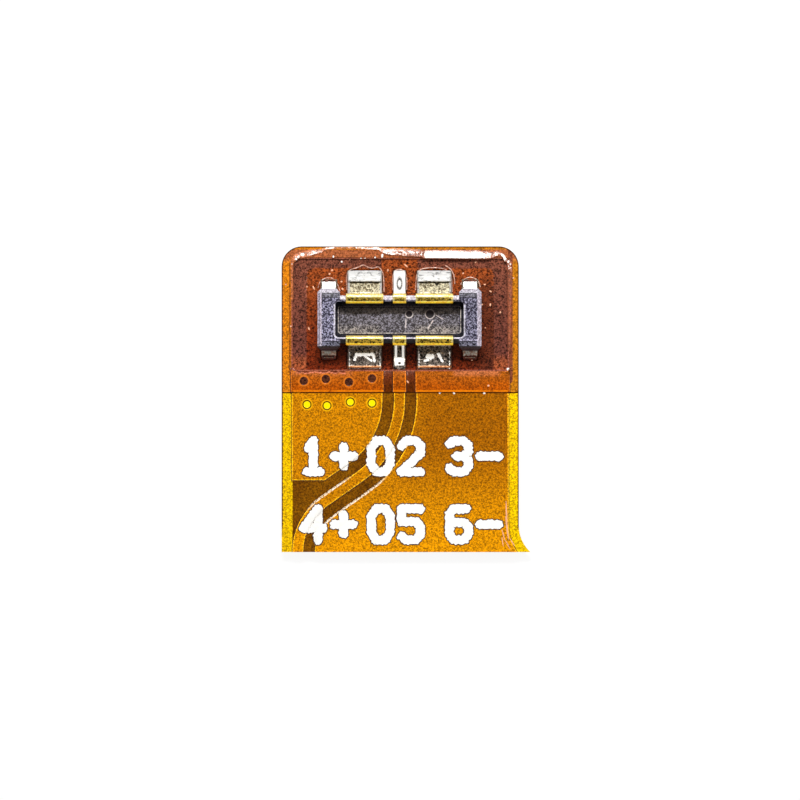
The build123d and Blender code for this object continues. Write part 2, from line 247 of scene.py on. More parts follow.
glue, tree, shader = finish("amber_adhesive", 0.5)
point, x, y, z = place(tree)
shade, relief = grained(point, 9000.0, 0.3)
feed(shader, "Base Color", mixed(shade, colour(96, 60, 18), colour(150, 98, 30)))
bumped(shader, relief, 0.004 * mm)
wear(glue, "adhesive", "stiffener_adhesive")

# Copper
# Rolled copper foil in two layers, etched into the nets, with plated tubes through the holes and
# filled plugs under the upper pads. The films cover nearly all of it; pads are bright with tin.

foil, tree, shader = finish("copper_foil", 0.35, Metallic=1.0)
point, x, y, z = place(tree)
shade, relief = grained(point, 14000.0, 0.3)
feed(shader, "Base Color", mixed(shade, colour(150, 82, 48), colour(226, 142, 96)))
bumped(shader, relief, 0.003 * mm)
wear(foil, "copper", "bottom_copper_positive", "bottom_copper_negative", "bottom_copper_thermistor",
     "plated_holes", "top_copper_positive", "top_copper_negative", "top_copper_ident", "pad_plugs")

tinned_pad, tree, shader = finish("tinned_pad", 0.3, Metallic=1.0)
point, x, y, z = place(tree)
shade, relief = grained(point, 18000.0, 0.25)
bright = mixed(shade, colour(160, 140, 112), colour(226, 214, 190))
# Painted shade: the fitting pads on the root side are painted dark, as in the plug's shadow.
shaded_root_feet = between(abs(x), 2.1 * mm, 2.2 * mm) * between(y, 0.0, -0.1 * mm)
feed(shader, "Base Color", mixed(shaded_root_feet, bright, mixed(shade, colour(52, 16, 6), colour(120, 52, 28))))
bumped(shader, relief, 0.004 * mm)
wear(tinned_pad, "copper", "upper_pads", "fitting_pads")

# Bottom cover film
# Amber polyimide, glued over the bottom copper. The copper shows through it as a lighter field,
# parted by the two darker gaps beside the thermistor trace, with clear margins along its edges.

bottom_film, tree, shader = finish("bottom_film", 0.3, IOR=1.5)
point, x, y, z = place(tree)
copper_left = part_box("bottom_copper_positive")[0].x
sheet_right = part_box("stiffener")[1].x
copper_side = sheet_right - 0.39 * mm
trace_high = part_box("bottom_copper_thermistor")[1]
trace_left = trace_high.x - 0.3 * mm
lane = 0.2 * mm
soft = 0.015 * mm
net = inside(x, copper_left, copper_side, soft)
left_gap = inside(x, trace_left - lane, trace_left, soft)
right_gap = inside(x, trace_high.x, trace_high.x + lane, soft)
gaps = left_gap + right_gap
net = net - gaps
film = mixed(gaps, colour(236, 180, 20), colour(120, 70, 8))
film = mixed(net, film, colour(200, 128, 22))
film, relief = speckled(point, film, 16000.0, 0.5, 1.5)
feed(shader, "Base Color", film)
both = relief * 0.25 + net
bumped(shader, both, 0.01 * mm)
wear(bottom_film, "cover_film", "bottom_cover_film")

# Base film
# The polyimide carrier between the two copper layers, bare in the window round the plug. Bands of
# bottom copper show through it as a darker border, broken in the middle of the tip side.

base, tree, shader = finish("base_film", 0.2, IOR=1.45)
point, x, y, z = place(tree)
band_width = 0.5 * mm
band_tip_width = 0.33 * mm
band_corner = 0.3 * mm
band_break = 1.3 * mm
window_left = -3.85 * mm
window_right = 3.9 * mm
window_tip = 2.19 * mm
window_root = -1.8 * mm
soft = 0.03 * mm

boxed, entry, leave = group("rounded_box", {"Point": None, "Middle X": 0.0, "Middle Y": 0.0, "Half X": 0.001,
                                            "Half Y": 0.001, "Radius": 0.0001}, ["Distance"])
beyond = {}
for axis in ("X", "Y"):
    away = abs(wire(boxed, "SeparateXYZ", axis, {"Vector": entry["Point"]}) - entry["Middle " + axis])
    beyond[axis] = larger(away - entry["Half " + axis] + entry["Radius"], 0.0)
away = wire(boxed, "VectorMath", "Value", {0: wire(boxed, "CombineXYZ", 0, beyond)}, operation="LENGTH")
feed(leave, "Distance", away - entry["Radius"])


def from_box(point, low, high, radius):
    """How far a point lies outside a rectangle with rounded corners, less than 0 inside it."""
    middle = [(start + stop) / 2 for start, stop in zip(low, high)]
    half = [(stop - start) / 2 for start, stop in zip(low, high)]
    return grouped(boxed, Point=point, Middle_X=middle[0], Middle_Y=middle[1], Half_X=half[0], Half_Y=half[1],
                   Radius=radius)[0]


_, relief = grained(point, 5000.0, 0.2)
away = from_box(point, (window_left + band_width, -4 * mm),
                (window_right - band_width, window_tip - band_tip_width), band_corner)
ragged = wire(tree, "MapRange", "Result",
              {"Value": y, "From Min": 0.0, "From Max": 1.4 * mm, "To Min": 0.04 * mm, "To Max": 0.2 * mm})
away = away + (relief - 0.5) * ragged
broken = inside(x, -band_break / 2, band_break / 2, soft)
band = between(away, -0.04 * mm, 0.04 * mm) * (1.0 - broken)
mirrored = wire(tree, "CombineXYZ", 0, {"X": abs(x), "Y": abs(y)})
rimmed = 1.0
for low, high in (((0.63 * mm, 0.9 * mm), (1.87 * mm, 1.77 * mm)),
                  ((-0.22 * mm, 0.9 * mm), (0.22 * mm, 1.77 * mm)),
                  ((2.28 * mm, 0.9 * mm), (2.8 * mm, 1.37 * mm))):
    rimmed = result("MINIMUM", from_box(mirrored, low, high, 0.08 * mm), rimmed)
tipward = between(y, -1.6 * mm, 1.9 * mm)
rightward = between(x, 2.2 * mm, 3.4 * mm)
# Painted shade: the bare film is painted darker towards the root side, where the plug's shadow falls.
film = mixed(tipward, colour(112, 40, 14), colour(140, 65, 26))
rightward = rightward * between(y, 1.9 * mm, 0.9 * mm)
film = mixed(rightward * 0.9, film, colour(80, 38, 24))
# Painted shade: the bands are painted darkest just below the plug.
bands = mixed(between(y, -1.15 * mm, -1.6 * mm), colour(98, 52, 42), colour(150, 76, 44))
film = mixed(band, film, mixed(tipward, bands, colour(114, 63, 47)))
# Painted shade: a dark rim round each joint's pad, where the solder meets the film.
film = mixed(between(rimmed, 0.08 * mm, 0.03 * mm) * 0.8, film, colour(46, 14, 8))
film, relief = speckled(point, film, 15000.0, 0.15, 1.85)
feed(shader, "Base Color", film)
both = relief * 0.5 + band
bumped(shader, both, 0.01 * mm)
wear(base, "base_film", "base_film")

# Top cover film
# Amber polyimide and its adhesive, pressed over the etched top copper so that it drapes over every
# edge. It is lighter over copper, dark over the gaps, and bright yellow along the bare margins.

step_height = 0.06 * mm
crest_width = 0.034 * mm
foot_width = 0.0255 * mm
shoulder_width = 0.014 * mm
cover_low = 0.425 * mm
cover_high = cover_low + step_height


def pick(piece):
    """Selects one object and nothing else, ready for an operator."""
    bpy.ops.object.select_all(action="DESELECT")
    bpy.context.view_layer.objects.active = piece
    piece.select_set(True)


def applied(piece, name, kind, **settings):
    """Gives the picked object a modifier and applies it."""
    modifier = piece.modifiers.new(name, kind)
    for setting, value in settings.items():
        setattr(modifier, setting, value)
    bpy.ops.object.modifier_apply(modifier=name)


def copied(name, node):
    """A free copy of a node's mesh, its loose triangles joined into whole faces."""
    piece = bpy.data.objects.new(name, nodes[node].data.copy())
    bpy.context.scene.collection.objects.link(piece)
    pick(piece)
    bpy.ops.object.mode_set(mode="EDIT")
    bpy.ops.mesh.select_all(action="SELECT")
    bpy.ops.mesh.remove_doubles(threshold=0.0002 * mm)
    bpy.ops.mesh.dissolve_limited(angle_limit=math.radians(1))
    bpy.ops.object.mode_set(mode="OBJECT")
    return piece


def finished(piece, look, slot, *stands_for):
    """Gives a new piece its finish and its body, and hides the nodes that it stands for. Its slot is not
    used.
    """
    piece.data.materials.clear()
    piece.data.materials.append(look)
    if stands_for:
        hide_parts(*stands_for)
    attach(piece, "root")


def pick_parts(piece, kind, wanted):
    """Opens a piece in edit mode and selects the edges or faces that a test picks."""
    bpy.ops.object.mode_set(mode="EDIT")
    bpy.ops.mesh.select_mode(type=kind)
    bpy.ops.mesh.select_all(action="DESELECT")
    mesh = bmesh.from_edit_mesh(piece.data)
    for part in mesh.edges if kind == "EDGE" else mesh.faces:
        part.select_set(wanted(part))
    bmesh.update_edit_mesh(piece.data)


def edges_softened(piece, width, segments, angle):
    """Rounds the sharp edges of a piece and smooths its shading."""
    pick(piece)
    applied(piece, "softened", "BEVEL", width=width, segments=segments, limit_method="ANGLE",
            angle_limit=math.radians(angle), miter_outer="MITER_ARC")
    bpy.ops.object.shade_smooth_by_angle(angle=math.radians(angle))
    applied(piece, "flat", "WEIGHTED_NORMAL", keep_sharp=True)


def steepest_face(edge, low):
    """How upright the steepest face beside an edge is, of those above a level: 0 is a wall, 1 is flat."""
    above = [face for face in edge.link_faces if min(vertex.co.z for vertex in face.verts) > low]
    return min((face.normal.z for face in above), default=1)


def draped(piece, low, high):
    """Turns the upright steps between two levels of a film into the soft slopes of a pressed film."""
    close = 0.001 * mm

    def on_step(level, flattest, edge):
        at_level = all(abs(vertex.co.z - level) < close for vertex in edge.verts)
        return at_level and flattest[0] < steepest_face(edge, low - close) < flattest[1]

    for level, flattest, width, segments in ((high, (-2, 0.1), crest_width, 3),
                                             (low, (-2, 0.1), foot_width, 2),
                                             (high, (0.3, 0.999), shoulder_width, 1)):
        pick_parts(piece, "EDGE", lambda edge: on_step(level, flattest, edge))
        bpy.ops.mesh.bevel(offset=width, segments=segments, affect="EDGES")
        bpy.ops.object.mode_set(mode="OBJECT")


def hole_centres():
    """The centres of the plated holes, from the tubes in the frame."""
    tubes = bmesh.new()
    tubes.from_mesh(nodes["plated_holes"].data)
    bmesh.ops.remove_doubles(tubes, verts=tubes.verts, dist=0.0002 * mm)
    waiting = set(tubes.verts)
    centres = []
    while waiting:
        tube = {waiting.pop()}
        fresh = set(tube)
        while fresh:
            fresh = {edge.other_vert(vertex) for vertex in fresh for edge in vertex.link_edges} - tube
            tube |= fresh
        waiting -= tube
        centres.append(sum((vertex.co for vertex in tube), Vector()) / len(tube))
    tubes.free()
    return sorted(centres, key=lambda centre: (centre.x, centre.y))


holes, entry, leave = group("covered_holes", {"Point": None}, ["Distance"])
flat = wire(holes, "Mapping", "Vector", {"Vector": entry["Point"], "Scale": (1.0, 1.0, 0.0)})
nearest = 1.0
for centre in hole_centres():
    away = wire(holes, "VectorMath", "Value", {0: flat, 1: (centre.x, centre.y, 0.0)}, operation="DISTANCE")
    nearest = result("MINIMUM", away, nearest)
feed(leave, "Distance", nearest)

cover = copied("cover_film", "top_cover_film")
draped(cover, cover_low, cover_high)
edges_softened(cover, 0.03 * mm, 2, 60)
film_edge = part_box("reinforcing_film")[0].y

cover_look, tree, shader = finish("cover_film", 0.16, IOR=1.5)
point, x, y, z = place(tree)
slow, _ = grained(point, 1500.0, 0.25)
rootward = between(y, -4.2 * mm, -8.3 * mm)
leftward = between(x, 1.4 * mm, -0.6 * mm)
bright = larger(rootward, leftward * 0.5)
on_trace = (between(z, cover_high - 0.005 * mm, cover_high - 0.001 * mm)
            * inside(x, -0.2 * mm, 0.2 * mm, soft)
            * between(y, -4.6 * mm, -3.6 * mm))
over_copper = mixed(bright, colour(160, 93, 1), colour(224, 146, 1))
over_copper = mixed(on_trace * 0.5, over_copper, colour(172, 104, 1))
in_gap = mixed(slow, colour(94, 51, 1), colour(138, 86, 2))
between_nets = inside(x, copper_left, 2.4 * mm, 0.015 * mm)
low_film = mixed(between_nets, mixed(between(x, 0.0, 1.0 * mm), colour(228, 180, 2), colour(238, 192, 2)),
                 in_gap)
# Painted shade at the foot of each draped slope, and a painted highlight on its upper part.
film = mixed(between(z, cover_low + 0.0005 * mm, cover_low + 0.003 * mm), low_film, colour(54, 28, 2))
film = mixed(between(z, cover_low + 0.02 * mm, cover_low + 0.031 * mm), film, colour(255, 184, 4))
film = mixed(between(z, cover_high - 0.002 * mm, cover_high - 0.0001 * mm), film, over_copper)
outline_low, outline_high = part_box("stiffener")
corner_radius = 0.72 * mm
from_edge = from_box(point, (outline_low.x, -9 * mm), outline_high, corner_radius)
rim = between(from_edge, -0.05 * mm, -0.03 * mm) * between(y, -7.6 * mm, -7.4 * mm)
film = mixed(rim, film, colour(96, 56, 10))
film = mixed(between(y, film_edge, film_edge + 0.02 * mm), film, colour(160, 90, 68))
film, relief = speckled(point, film, 16000.0, 0.45, 1.55)
distance, = grouped(holes, Point=point)
halo = inside(distance, 0.165 * mm, 0.21 * mm, 0.012 * mm)
ring = inside(distance, 0.12 * mm, 0.16 * mm, 0.01 * mm)
disc = between(distance, 0.13 * mm, 0.115 * mm)
film = mixed(halo * 0.75, film, colour(250, 186, 8))
film = mixed(ring, film, colour(62, 32, 2))
film = mixed(disc, film, colour(255, 232, 2))
# Painted highlights: the slopes that face the tip in the S-bend are painted near white, as glints.
facing = wire(tree, "SeparateXYZ", "Y", {"Vector": wire(tree, "NewGeometry", "True Normal", {})})
glinting = between(facing, 0.05, 0.1) * between(facing, 0.72, 0.6)
glinting = glinting * inside(y, -7.6 * mm, -5.75 * mm, 0.15 * mm)
glinting = glinting * inside(x, -3.2 * mm, 0.3 * mm, 0.2 * mm)
glinting = glinting * between(relief, 0.42, 0.52)
film = mixed(glinting, film, colour(255, 244, 226))
# Painted shadow: a dark dotted line just below the reinforcing film's cut end.
dotted = inside(y, film_edge - 0.045 * mm, film_edge, 0.006 * mm) * between(slow, 0.1, 0.3)
film = mixed(dotted, film, colour(96, 50, 4))
feed(shader, "Base Color", film)
both = relief * 0.4 - disc
bumped(shader, both, 0.006 * mm)
finished(cover, cover_look, "cover_film", "top_cover_film")

# Reinforcing film
# A second, darker polyimide film over the tip half, with its own window a little larger than the
# first. Its cut end makes the straight line across the circuit.

reinforcing_low = 0.465 * mm
reinforcing_high = reinforcing_low + step_height
upper_film = copied("upper_film", "reinforcing_film")
draped(upper_film, reinforcing_low, reinforcing_high)
edges_softened(upper_film, 0.03 * mm, 2, 60)

upper_look, tree, shader = finish("reinforcing_film", 0.17, IOR=1.5)
point, x, y, z = place(tree)
tipward = between(y, film_edge + 0.1 * mm, window_root - 0.1 * mm)
over_copper = mixed(tipward, colour(172, 78, 1), colour(170, 88, 16))
in_gap = mixed(tipward, colour(90, 38, 2), colour(108, 48, 20))
between_nets = (inside(x, copper_left, 2.4 * mm, 0.015 * mm)
                * between(y, window_root + 0.05 * mm, window_root - 0.05 * mm))
margin = mixed(between(x, 0.0, 1.0 * mm), colour(206, 120, 16), colour(186, 114, 18))
tip_margin = mixed(between(y, window_tip + 0.38 * mm, window_tip + 0.3 * mm), margin, colour(166, 92, 54))
margin = mixed(between(y, window_tip - 0.2 * mm, window_tip + 0.1 * mm), margin, tip_margin)
low_film = mixed(between_nets, margin, in_gap)
# A reddish-brown strip down the right margin, ending in a slant.
right_margin_strip = (between(x, window_right - soft, window_right + soft)
         * between(x, window_right + 0.21 * mm, window_right + 0.14 * mm))
slanted = y - x
right_margin_strip = right_margin_strip * between(slanted, -6.32 * mm, -6.26 * mm)
low_film = mixed(right_margin_strip, low_film, colour(128, 66, 42))
# Painted shade at the foot of each draped slope, and a painted highlight on its upper part.
film = mixed(between(z, reinforcing_low + 0.0005 * mm, reinforcing_low + 0.003 * mm),
             low_film, colour(74, 32, 6))
film = mixed(between(z, reinforcing_high - 0.015 * mm, reinforcing_high - 0.011 * mm),
             film, colour(226, 120, 12))
on_copper = between(z, reinforcing_high - 0.002 * mm, reinforcing_high - 0.0001 * mm)
film = mixed(on_copper, film, over_copper)
# The film's cut edge: painted dark over the copper, as the shade under the step, and yellow over the bare
# margins, where it hides that shade.
film = mixed(between(z, reinforcing_low - 0.0008 * mm, reinforcing_low - 0.004 * mm), film,
             mixed(inside(x, copper_left, copper_side, soft), colour(196, 130, 10), colour(88, 46, 14)))
slow, _ = grained(point, 2600.0, 0.2)
haze = (between(y, window_root - 0.3 * mm, window_root - 0.1 * mm)
        * (inside(x, 1.95 * mm, 3.6 * mm, 0.1 * mm) + inside(x, -3.9 * mm, -1.7 * mm, 0.1 * mm) * 0.5)
        * on_copper)
film = mixed(haze * 0.8, film, colour(196, 112, 66))
swept = wire(tree, "Mapping", "Vector", {"Vector": point, "Scale": (1.0, 0.0, 0.0)})
wave, _ = grained(swept, 1900.0, 0.22)
scallop = y + wave * (0.18 * mm)
left_part = inside(x, -3.7 * mm, -1.95 * mm, 0.05 * mm) * between(y, -1.0 * mm, -1.3 * mm)
film = mixed(between(scallop, window_root - 0.05 * mm, window_root - 0.02 * mm) * left_part, film,
             colour(206, 118, 84))
film = mixed(between(scallop, window_root, window_root + 0.02 * mm) * left_part, film, colour(104, 42, 18))
side_line = (inside(x, window_left - 0.12 * mm, window_left - 0.07 * mm, 0.012 * mm)
             * between(y, window_root - 0.3 * mm, window_root) * between(y, 2.2 * mm, 1.9 * mm))
film = mixed(side_line * 0.8, film, colour(104, 52, 26))
from_edge = from_box(point, (outline_low.x, -9 * mm), outline_high, corner_radius)
film = mixed(between(from_edge, -0.05 * mm, -0.03 * mm), film, colour(84, 42, 12))
film, relief = speckled(point, film, 16000.0, 0.45, 1.55)
distance, = grouped(holes, Point=point)
disc = between(distance, 0.155 * mm, 0.14 * mm)
halo = inside(distance, 0.16 * mm, 0.205 * mm, 0.012 * mm)
film = mixed(halo * 0.7, film, colour(228, 124, 30))
# The covered holes are painted dark: partly the steel below, partly painted shade in the pits.
film = mixed(disc, film, mixed(between(relief, 0.4, 0.6), colour(40, 16, 6), colour(96, 50, 32)))
# Painted highlight: a bright line along the rounded cut end, over the copper.
edge_highlight = (inside(y, film_edge + 0.005 * mm, film_edge + 0.07 * mm, 0.01 * mm)
               * inside(x, copper_left, copper_side, soft)
               * between(z, reinforcing_high - 0.025 * mm, reinforcing_high - 0.015 * mm)
               * between(slow, -0.1, 0.6))
film = mixed(edge_highlight * 0.8, film, colour(240, 130, 4))
feed(shader, "Base Color", film)
both = relief * 0.4 - disc
bumped(shader, both, 0.006 * mm)
finished(upper_film, upper_look, "reinforcing_film", "reinforcing_film")

# Adhesive bead
# Clear adhesive squeezed out round the tip side of the reinforcing film and set in a wavy, glossy
# ridge. Its outer slope catches the light, and its brightest patches are painted white highlights.
# It runs down the right side as a thin line.

# How far along the bead, how deep inside the circuit's edge its foot and its crest run, and how
# strongly it gleams there: a steeper slope, and a painted highlight
bead_places = [(0.0, 0.34, 0.38, -0.4), (1.2, 0.33, 0.37, -0.2), (1.9, 0.24, 0.40, 0.1),
               (2.35, 0.20, 0.40, 0.1), (2.60, 0.16, 0.36, 0.1), (2.74, 0.12, 0.30, 0.45),
               (3.05, 0.10, 0.22, 0.35), (3.15, 0.05, 0.14, -0.1), (3.30, 0.02, 0.10, 0.4),
               (3.50, 0.02, 0.08, 0.5), (3.62, 0.02, 0.07, 0.0), (4.26, 0.02, 0.07, 0.2),
               (4.5, 0.02, 0.09, 0.4), (5.1, 0.02, 0.11, 0.7), (5.25, 0.05, 0.22, 0.45),
               (5.45, 0.08, 0.28, 0.7), (5.7, 0.06, 0.32, 0.5), (6.0, 0.07, 0.34, 0.4),
               (6.6, 0.11, 0.36, 0.35), (6.72, 0.16, 0.40, -0.1), (6.82, 0.13, 0.42, 1.0),
               (8.6, 0.15, 0.43, 1.0), (9.1, 0.20, 0.43, 0.6), (9.22, 0.20, 0.40, 0.0),
               (9.36, 0.18, 0.34, 0.7), (9.5, 0.20, 0.31, 0.1), (9.62, 0.22, 0.33, 0.9),
               (9.98, 0.30, 0.42, 0.9), (10.1, 0.34, 0.44, 0.0), (10.2, 0.26, 0.38, 0.5),
               (10.6, 0.24, 0.38, 0.4), (10.9, 0.25, 0.37, -0.3), (13.6, 0.30, 0.36, -0.4)]
bead_slope = 0.33
bead_start = 0.7 * mm
bead_columns = 420
bead_rows = 16


def ruffled(point, size, layer):
    """A smooth random value from -1 to 1 that changes over a length across the part."""
    return noise.noise(Vector((point.x / size, point.y / size, layer)))


def along_edge(run, depth):
    """A point at a depth inside the circuit's edge, a run along it from the left side over the tip."""
    side = outline_high.y - corner_radius - bead_start
    bend = corner_radius * math.pi / 2
    top = outline_high.x - outline_low.x - 2 * corner_radius
    if run < side:
        return Vector((outline_low.x + depth, bead_start + run, 0))
    if run < side + bend:
        turn = (run - side) / corner_radius
        centre = Vector((outline_low.x + corner_radius, outline_high.y - corner_radius, 0))
        return centre + (corner_radius - depth) * Vector((-math.cos(turn), math.sin(turn), 0))
    if run < side + bend + top:
        return Vector((outline_low.x + corner_radius + run - side - bend, outline_high.y - depth, 0))
    if run < side + 2 * bend + top:
        turn = (run - side - bend - top) / corner_radius
        centre = Vector((outline_high.x - corner_radius, outline_high.y - corner_radius, 0))
        return centre + (corner_radius - depth) * Vector((math.sin(turn), math.cos(turn), 0))
    return Vector((outline_high.x - depth, outline_high.y - corner_radius - (run - side - 2 * bend - top), 0))


def bead_form(run):
    """The depth of the bead's foot and crest, and how strongly it gleams, at a run along it."""
    for before, after in zip(bead_places, bead_places[1:]):
        if run <= after[0] * mm:
            share = (run / mm - before[0]) / (after[0] - before[0])
            share = share * share * (3 - 2 * share)
            foot, crest, bead_gleam = (start + (stop - start) * share for start, stop in zip(before[1:], after[1:]))
            return foot * mm, crest * mm, bead_gleam
    return bead_places[-1][1] * mm, bead_places[-1][2] * mm, bead_places[-1][3]


def slab(name, columns, rows):
    """A slab with a finely divided face on top and below, left in edit mode, and its open mesh."""
    bpy.ops.object.select_all(action="DESELECT")
    bpy.ops.mesh.primitive_grid_add(x_subdivisions=columns, y_subdivisions=rows, size=2)
    piece = bpy.context.object
    piece.name = name
    bpy.ops.object.mode_set(mode="EDIT")
    bpy.ops.mesh.select_all(action="SELECT")
    bpy.ops.mesh.extrude_region_move(TRANSFORM_OT_translate={"value": (0, 0, -1)})
    return piece, bmesh.from_edit_mesh(piece.data)


def set_firm(piece, angle):
    """Closes the shaping of a slab: its faces point outwards, smooth up to an angle."""
    bmesh.update_edit_mesh(piece.data)
    bpy.ops.mesh.select_all(action="SELECT")
    bpy.ops.mesh.normals_make_consistent(inside=False)
    bpy.ops.object.mode_set(mode="OBJECT")
    bpy.ops.object.shade_smooth_by_angle(angle=math.radians(angle))


bead, mesh = slab("adhesive_bead", bead_columns, bead_rows)
painted_bead_gleam = mesh.verts.layers.float.new("painted_bead_gleam")
for vertex in mesh.verts:
    run = (vertex.co.x + 1) / 2 * bead_places[-1][0] * mm
    across = (vertex.co.y + 1) / 2
    foot, crest, bead_gleam = bead_form(run)
    spot = along_edge(run, crest)
    waver = 0.018 * mm * ruffled(spot, 0.1 * mm, 1.0) + 0.02 * mm * ruffled(spot, 0.4 * mm, 2.0)
    foot = max(foot + waver * min(1, (crest - foot) / (0.2 * mm)), 0.014 * mm)
    ends = max(0, min(1, run / (0.4 * mm), (bead_places[-1][0] * mm - run) / (0.5 * mm)))
    depth = (foot + (crest - foot) * across / 0.75 if across < 0.75
             else crest + (across - 0.75) / 0.25 * 0.04 * mm)
    spot = along_edge(run, depth)
    broken = 1 + 0.5 * ruffled(spot, 0.09 * mm, 4.0)
    rise = bead_slope * min(1, 0.4 + 0.6 * max(0, bead_gleam)) * broken * min(depth - foot, crest - foot)
    # The painted highlight is broken up by noise, less where it is strongest.
    gleam_breakup = (1.1 - abs(bead_gleam)) * (ruffled(spot, 0.085 * mm, 6.0) + 0.4 * ruffled(spot, 0.05 * mm, 7.0))
    to_edge = max(0, min(1, across / 0.25, (0.84 - across) / 0.16))
    vertex[painted_bead_gleam] = (bead_gleam + gleam_breakup) * to_edge
    fall = min(1, max(0, (across - 0.75) / 0.25))
    level = reinforcing_low + 0.003 * mm + (rise + 0.004 * mm * ruffled(spot, 0.05 * mm, 5.0)) * ends
    level = level * (1 - fall) + (cover_low + 0.004 * mm) * fall
    vertex.co = (spot.x, spot.y, level if vertex.co.z > -0.5 else cover_low - 0.005 * mm)
set_firm(bead, 50)

bead_look, tree, shader = finish("squeezed_adhesive", 0.36, IOR=1.5, Coat_Weight=0.25, Coat_Roughness=0.15)
point, x, y, z = place(tree)
bead_gleam = wire(tree, "Attribute", "Fac", {}, attribute_name="painted_bead_gleam")
leftward = between(x, 0.4 * mm, -1.2 * mm)
resin = mixed(leftward, colour(150, 80, 50), colour(186, 104, 58))
resin = mixed(between(y, 2.45 * mm, 2.6 * mm), resin, colour(206, 122, 40))
resin, relief = speckled(point, resin, 16000.0, 0.4, 1.6)
bead_gleam = bead_gleam + (relief - 0.5) * 1.9
# Painted highlight: where the bead gleams, its slope is painted white with a pink fringe.
resin = mixed(between(bead_gleam, 0.34, 0.46), resin, colour(232, 176, 150))
resin = mixed(between(bead_gleam, 0.5, 0.6), resin, colour(255, 252, 248))
feed(shader, "Base Color", resin)
bumped(shader, relief, 0.006 * mm)
finished(bead, bead_look, "reinforcing_film")

# Terminal marks
# Plain contact numbers and polarity signs, screen printed in thick white ink that follows the film
# over the copper's edges. The screen leaves them serrated. A thin dark rim round them is a painted
# shadow of the ink's thickness.

ink_thickness = 0.025 * mm
ink_bleed = 0.028 * mm
rim_width = 0.034 * mm
tooth_depth = 0.05 * mm
tooth_length = 0.075 * mm
ink_cell = 0.035 * mm


def spread(piece, reach):
    """Pushes the open edge of a flat sheet outward, by a distance that may change along it."""
    bpy.ops.object.mode_set(mode="EDIT")
    mesh = bmesh.from_edit_mesh(piece.data)
    outward = {}
    for edge in mesh.edges:
        if edge.is_boundary:
            loop = edge.link_loops[0]
            run = loop.link_loop_next.vert.co - loop.vert.co
            away = Vector((run.y, -run.x, 0)).normalized()
            for vertex in edge.verts:
                outward[vertex] = outward.get(vertex, Vector()) + away
    for vertex, away in outward.items():
        vertex.co += away.normalized() * reach(vertex.co)
    bmesh.update_edit_mesh(piece.data)
    bpy.ops.object.mode_set(mode="OBJECT")


def laid_on_cover(piece, thickness):
    """Lays a flat sheet down on the cover film and gives it its thickness."""
    pick(piece)
    applied(piece, "laid", "SHRINKWRAP", wrap_method="PROJECT", use_project_z=True,
            use_negative_direction=True,
            use_positive_direction=False, target=cover)
    applied(piece, "thick", "SOLIDIFY", thickness=thickness, offset=0.8)
    bpy.ops.object.shade_smooth_by_angle(angle=math.radians(50))


marks = copied("printed_marks", "terminal_marks")
pick_parts(marks, "FACE", lambda face: face.normal.z < 0.5)
bpy.ops.mesh.delete(type="FACE")
mesh = bmesh.from_edit_mesh(marks.data)
for vertex in mesh.verts:
    vertex.co.z = cover_high + 0.1 * mm
bmesh.update_edit_mesh(marks.data)
bpy.ops.mesh.select_all(action="SELECT")
bpy.ops.mesh.remove_doubles(threshold=0.001 * mm)
bpy.ops.mesh.select_all(action="SELECT")
bpy.ops.mesh.quads_convert_to_tris()
low_corner, high_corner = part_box("terminal_marks")
for axis in (0, 1):
    cut = low_corner[axis] + ink_cell / 3
    while cut < high_corner[axis]:
        bpy.ops.mesh.select_all(action="SELECT")
        across = Vector((1 - axis, axis, 0))
        bpy.ops.mesh.bisect(plane_co=across * cut, plane_no=across, threshold=0.0001 * mm)
        cut += ink_cell
bpy.ops.object.mode_set(mode="OBJECT")
spread(marks, lambda spot: ink_bleed + tooth_depth * ruffled(spot, tooth_length, 3.0))
# Painted shadow: a thin dark sheet round the marks, as the shadow of the ink's thickness.
ink_shadow_rim = marks.copy()
ink_shadow_rim.data = marks.data.copy()
ink_shadow_rim.name = "ink_shadow_rim"
bpy.context.scene.collection.objects.link(ink_shadow_rim)
pick(ink_shadow_rim)
spread(ink_shadow_rim, lambda spot: rim_width)
laid_on_cover(ink_shadow_rim, 0.006 * mm)
laid_on_cover(marks, ink_thickness)

ink_shadow_look, tree, shader = finish("painted_ink_shadow", 0.4)
shader.inputs["Base Color"].default_value = colour(70, 34, 24)
finished(ink_shadow_rim, ink_shadow_look, "white_ink")

ink_look, tree, shader = finish("white_ink", 0.5)
point, x, y, z = place(tree)
ink, relief = speckled(point, colour(252, 249, 243), 9000.0, 0.94, 1.02)
feed(shader, "Base Color", ink)
bumped(shader, relief, 0.004 * mm)
finished(marks, ink_look, "white_ink", "terminal_marks")

# Fittings
# Two flat bars of tinned brass across the plug's ends, with a barb up into each end block. Their
# feet stick out on both sides, and are soldered down to hold the plug.

tinned, tree, shader = finish("tinned_brass", 0.35, Metallic=0.5)
point, x, y, z = place(tree)
plate, relief = speckled(point, colour(198, 180, 146), 10000.0, 0.5, 1.5)
feed(shader, "Base Color", plate)
bumped(shader, relief, 0.006 * mm)
wear(tinned, "fitting_metal", "fitting_left", "fitting_right")

# Plug housing
# One moulding in dark grey glass-filled plastic: two end blocks joined by a tub, with a ledge in its
# mouth and two round ejector marks on its floor. The glass gives it a rough, glittering grain.

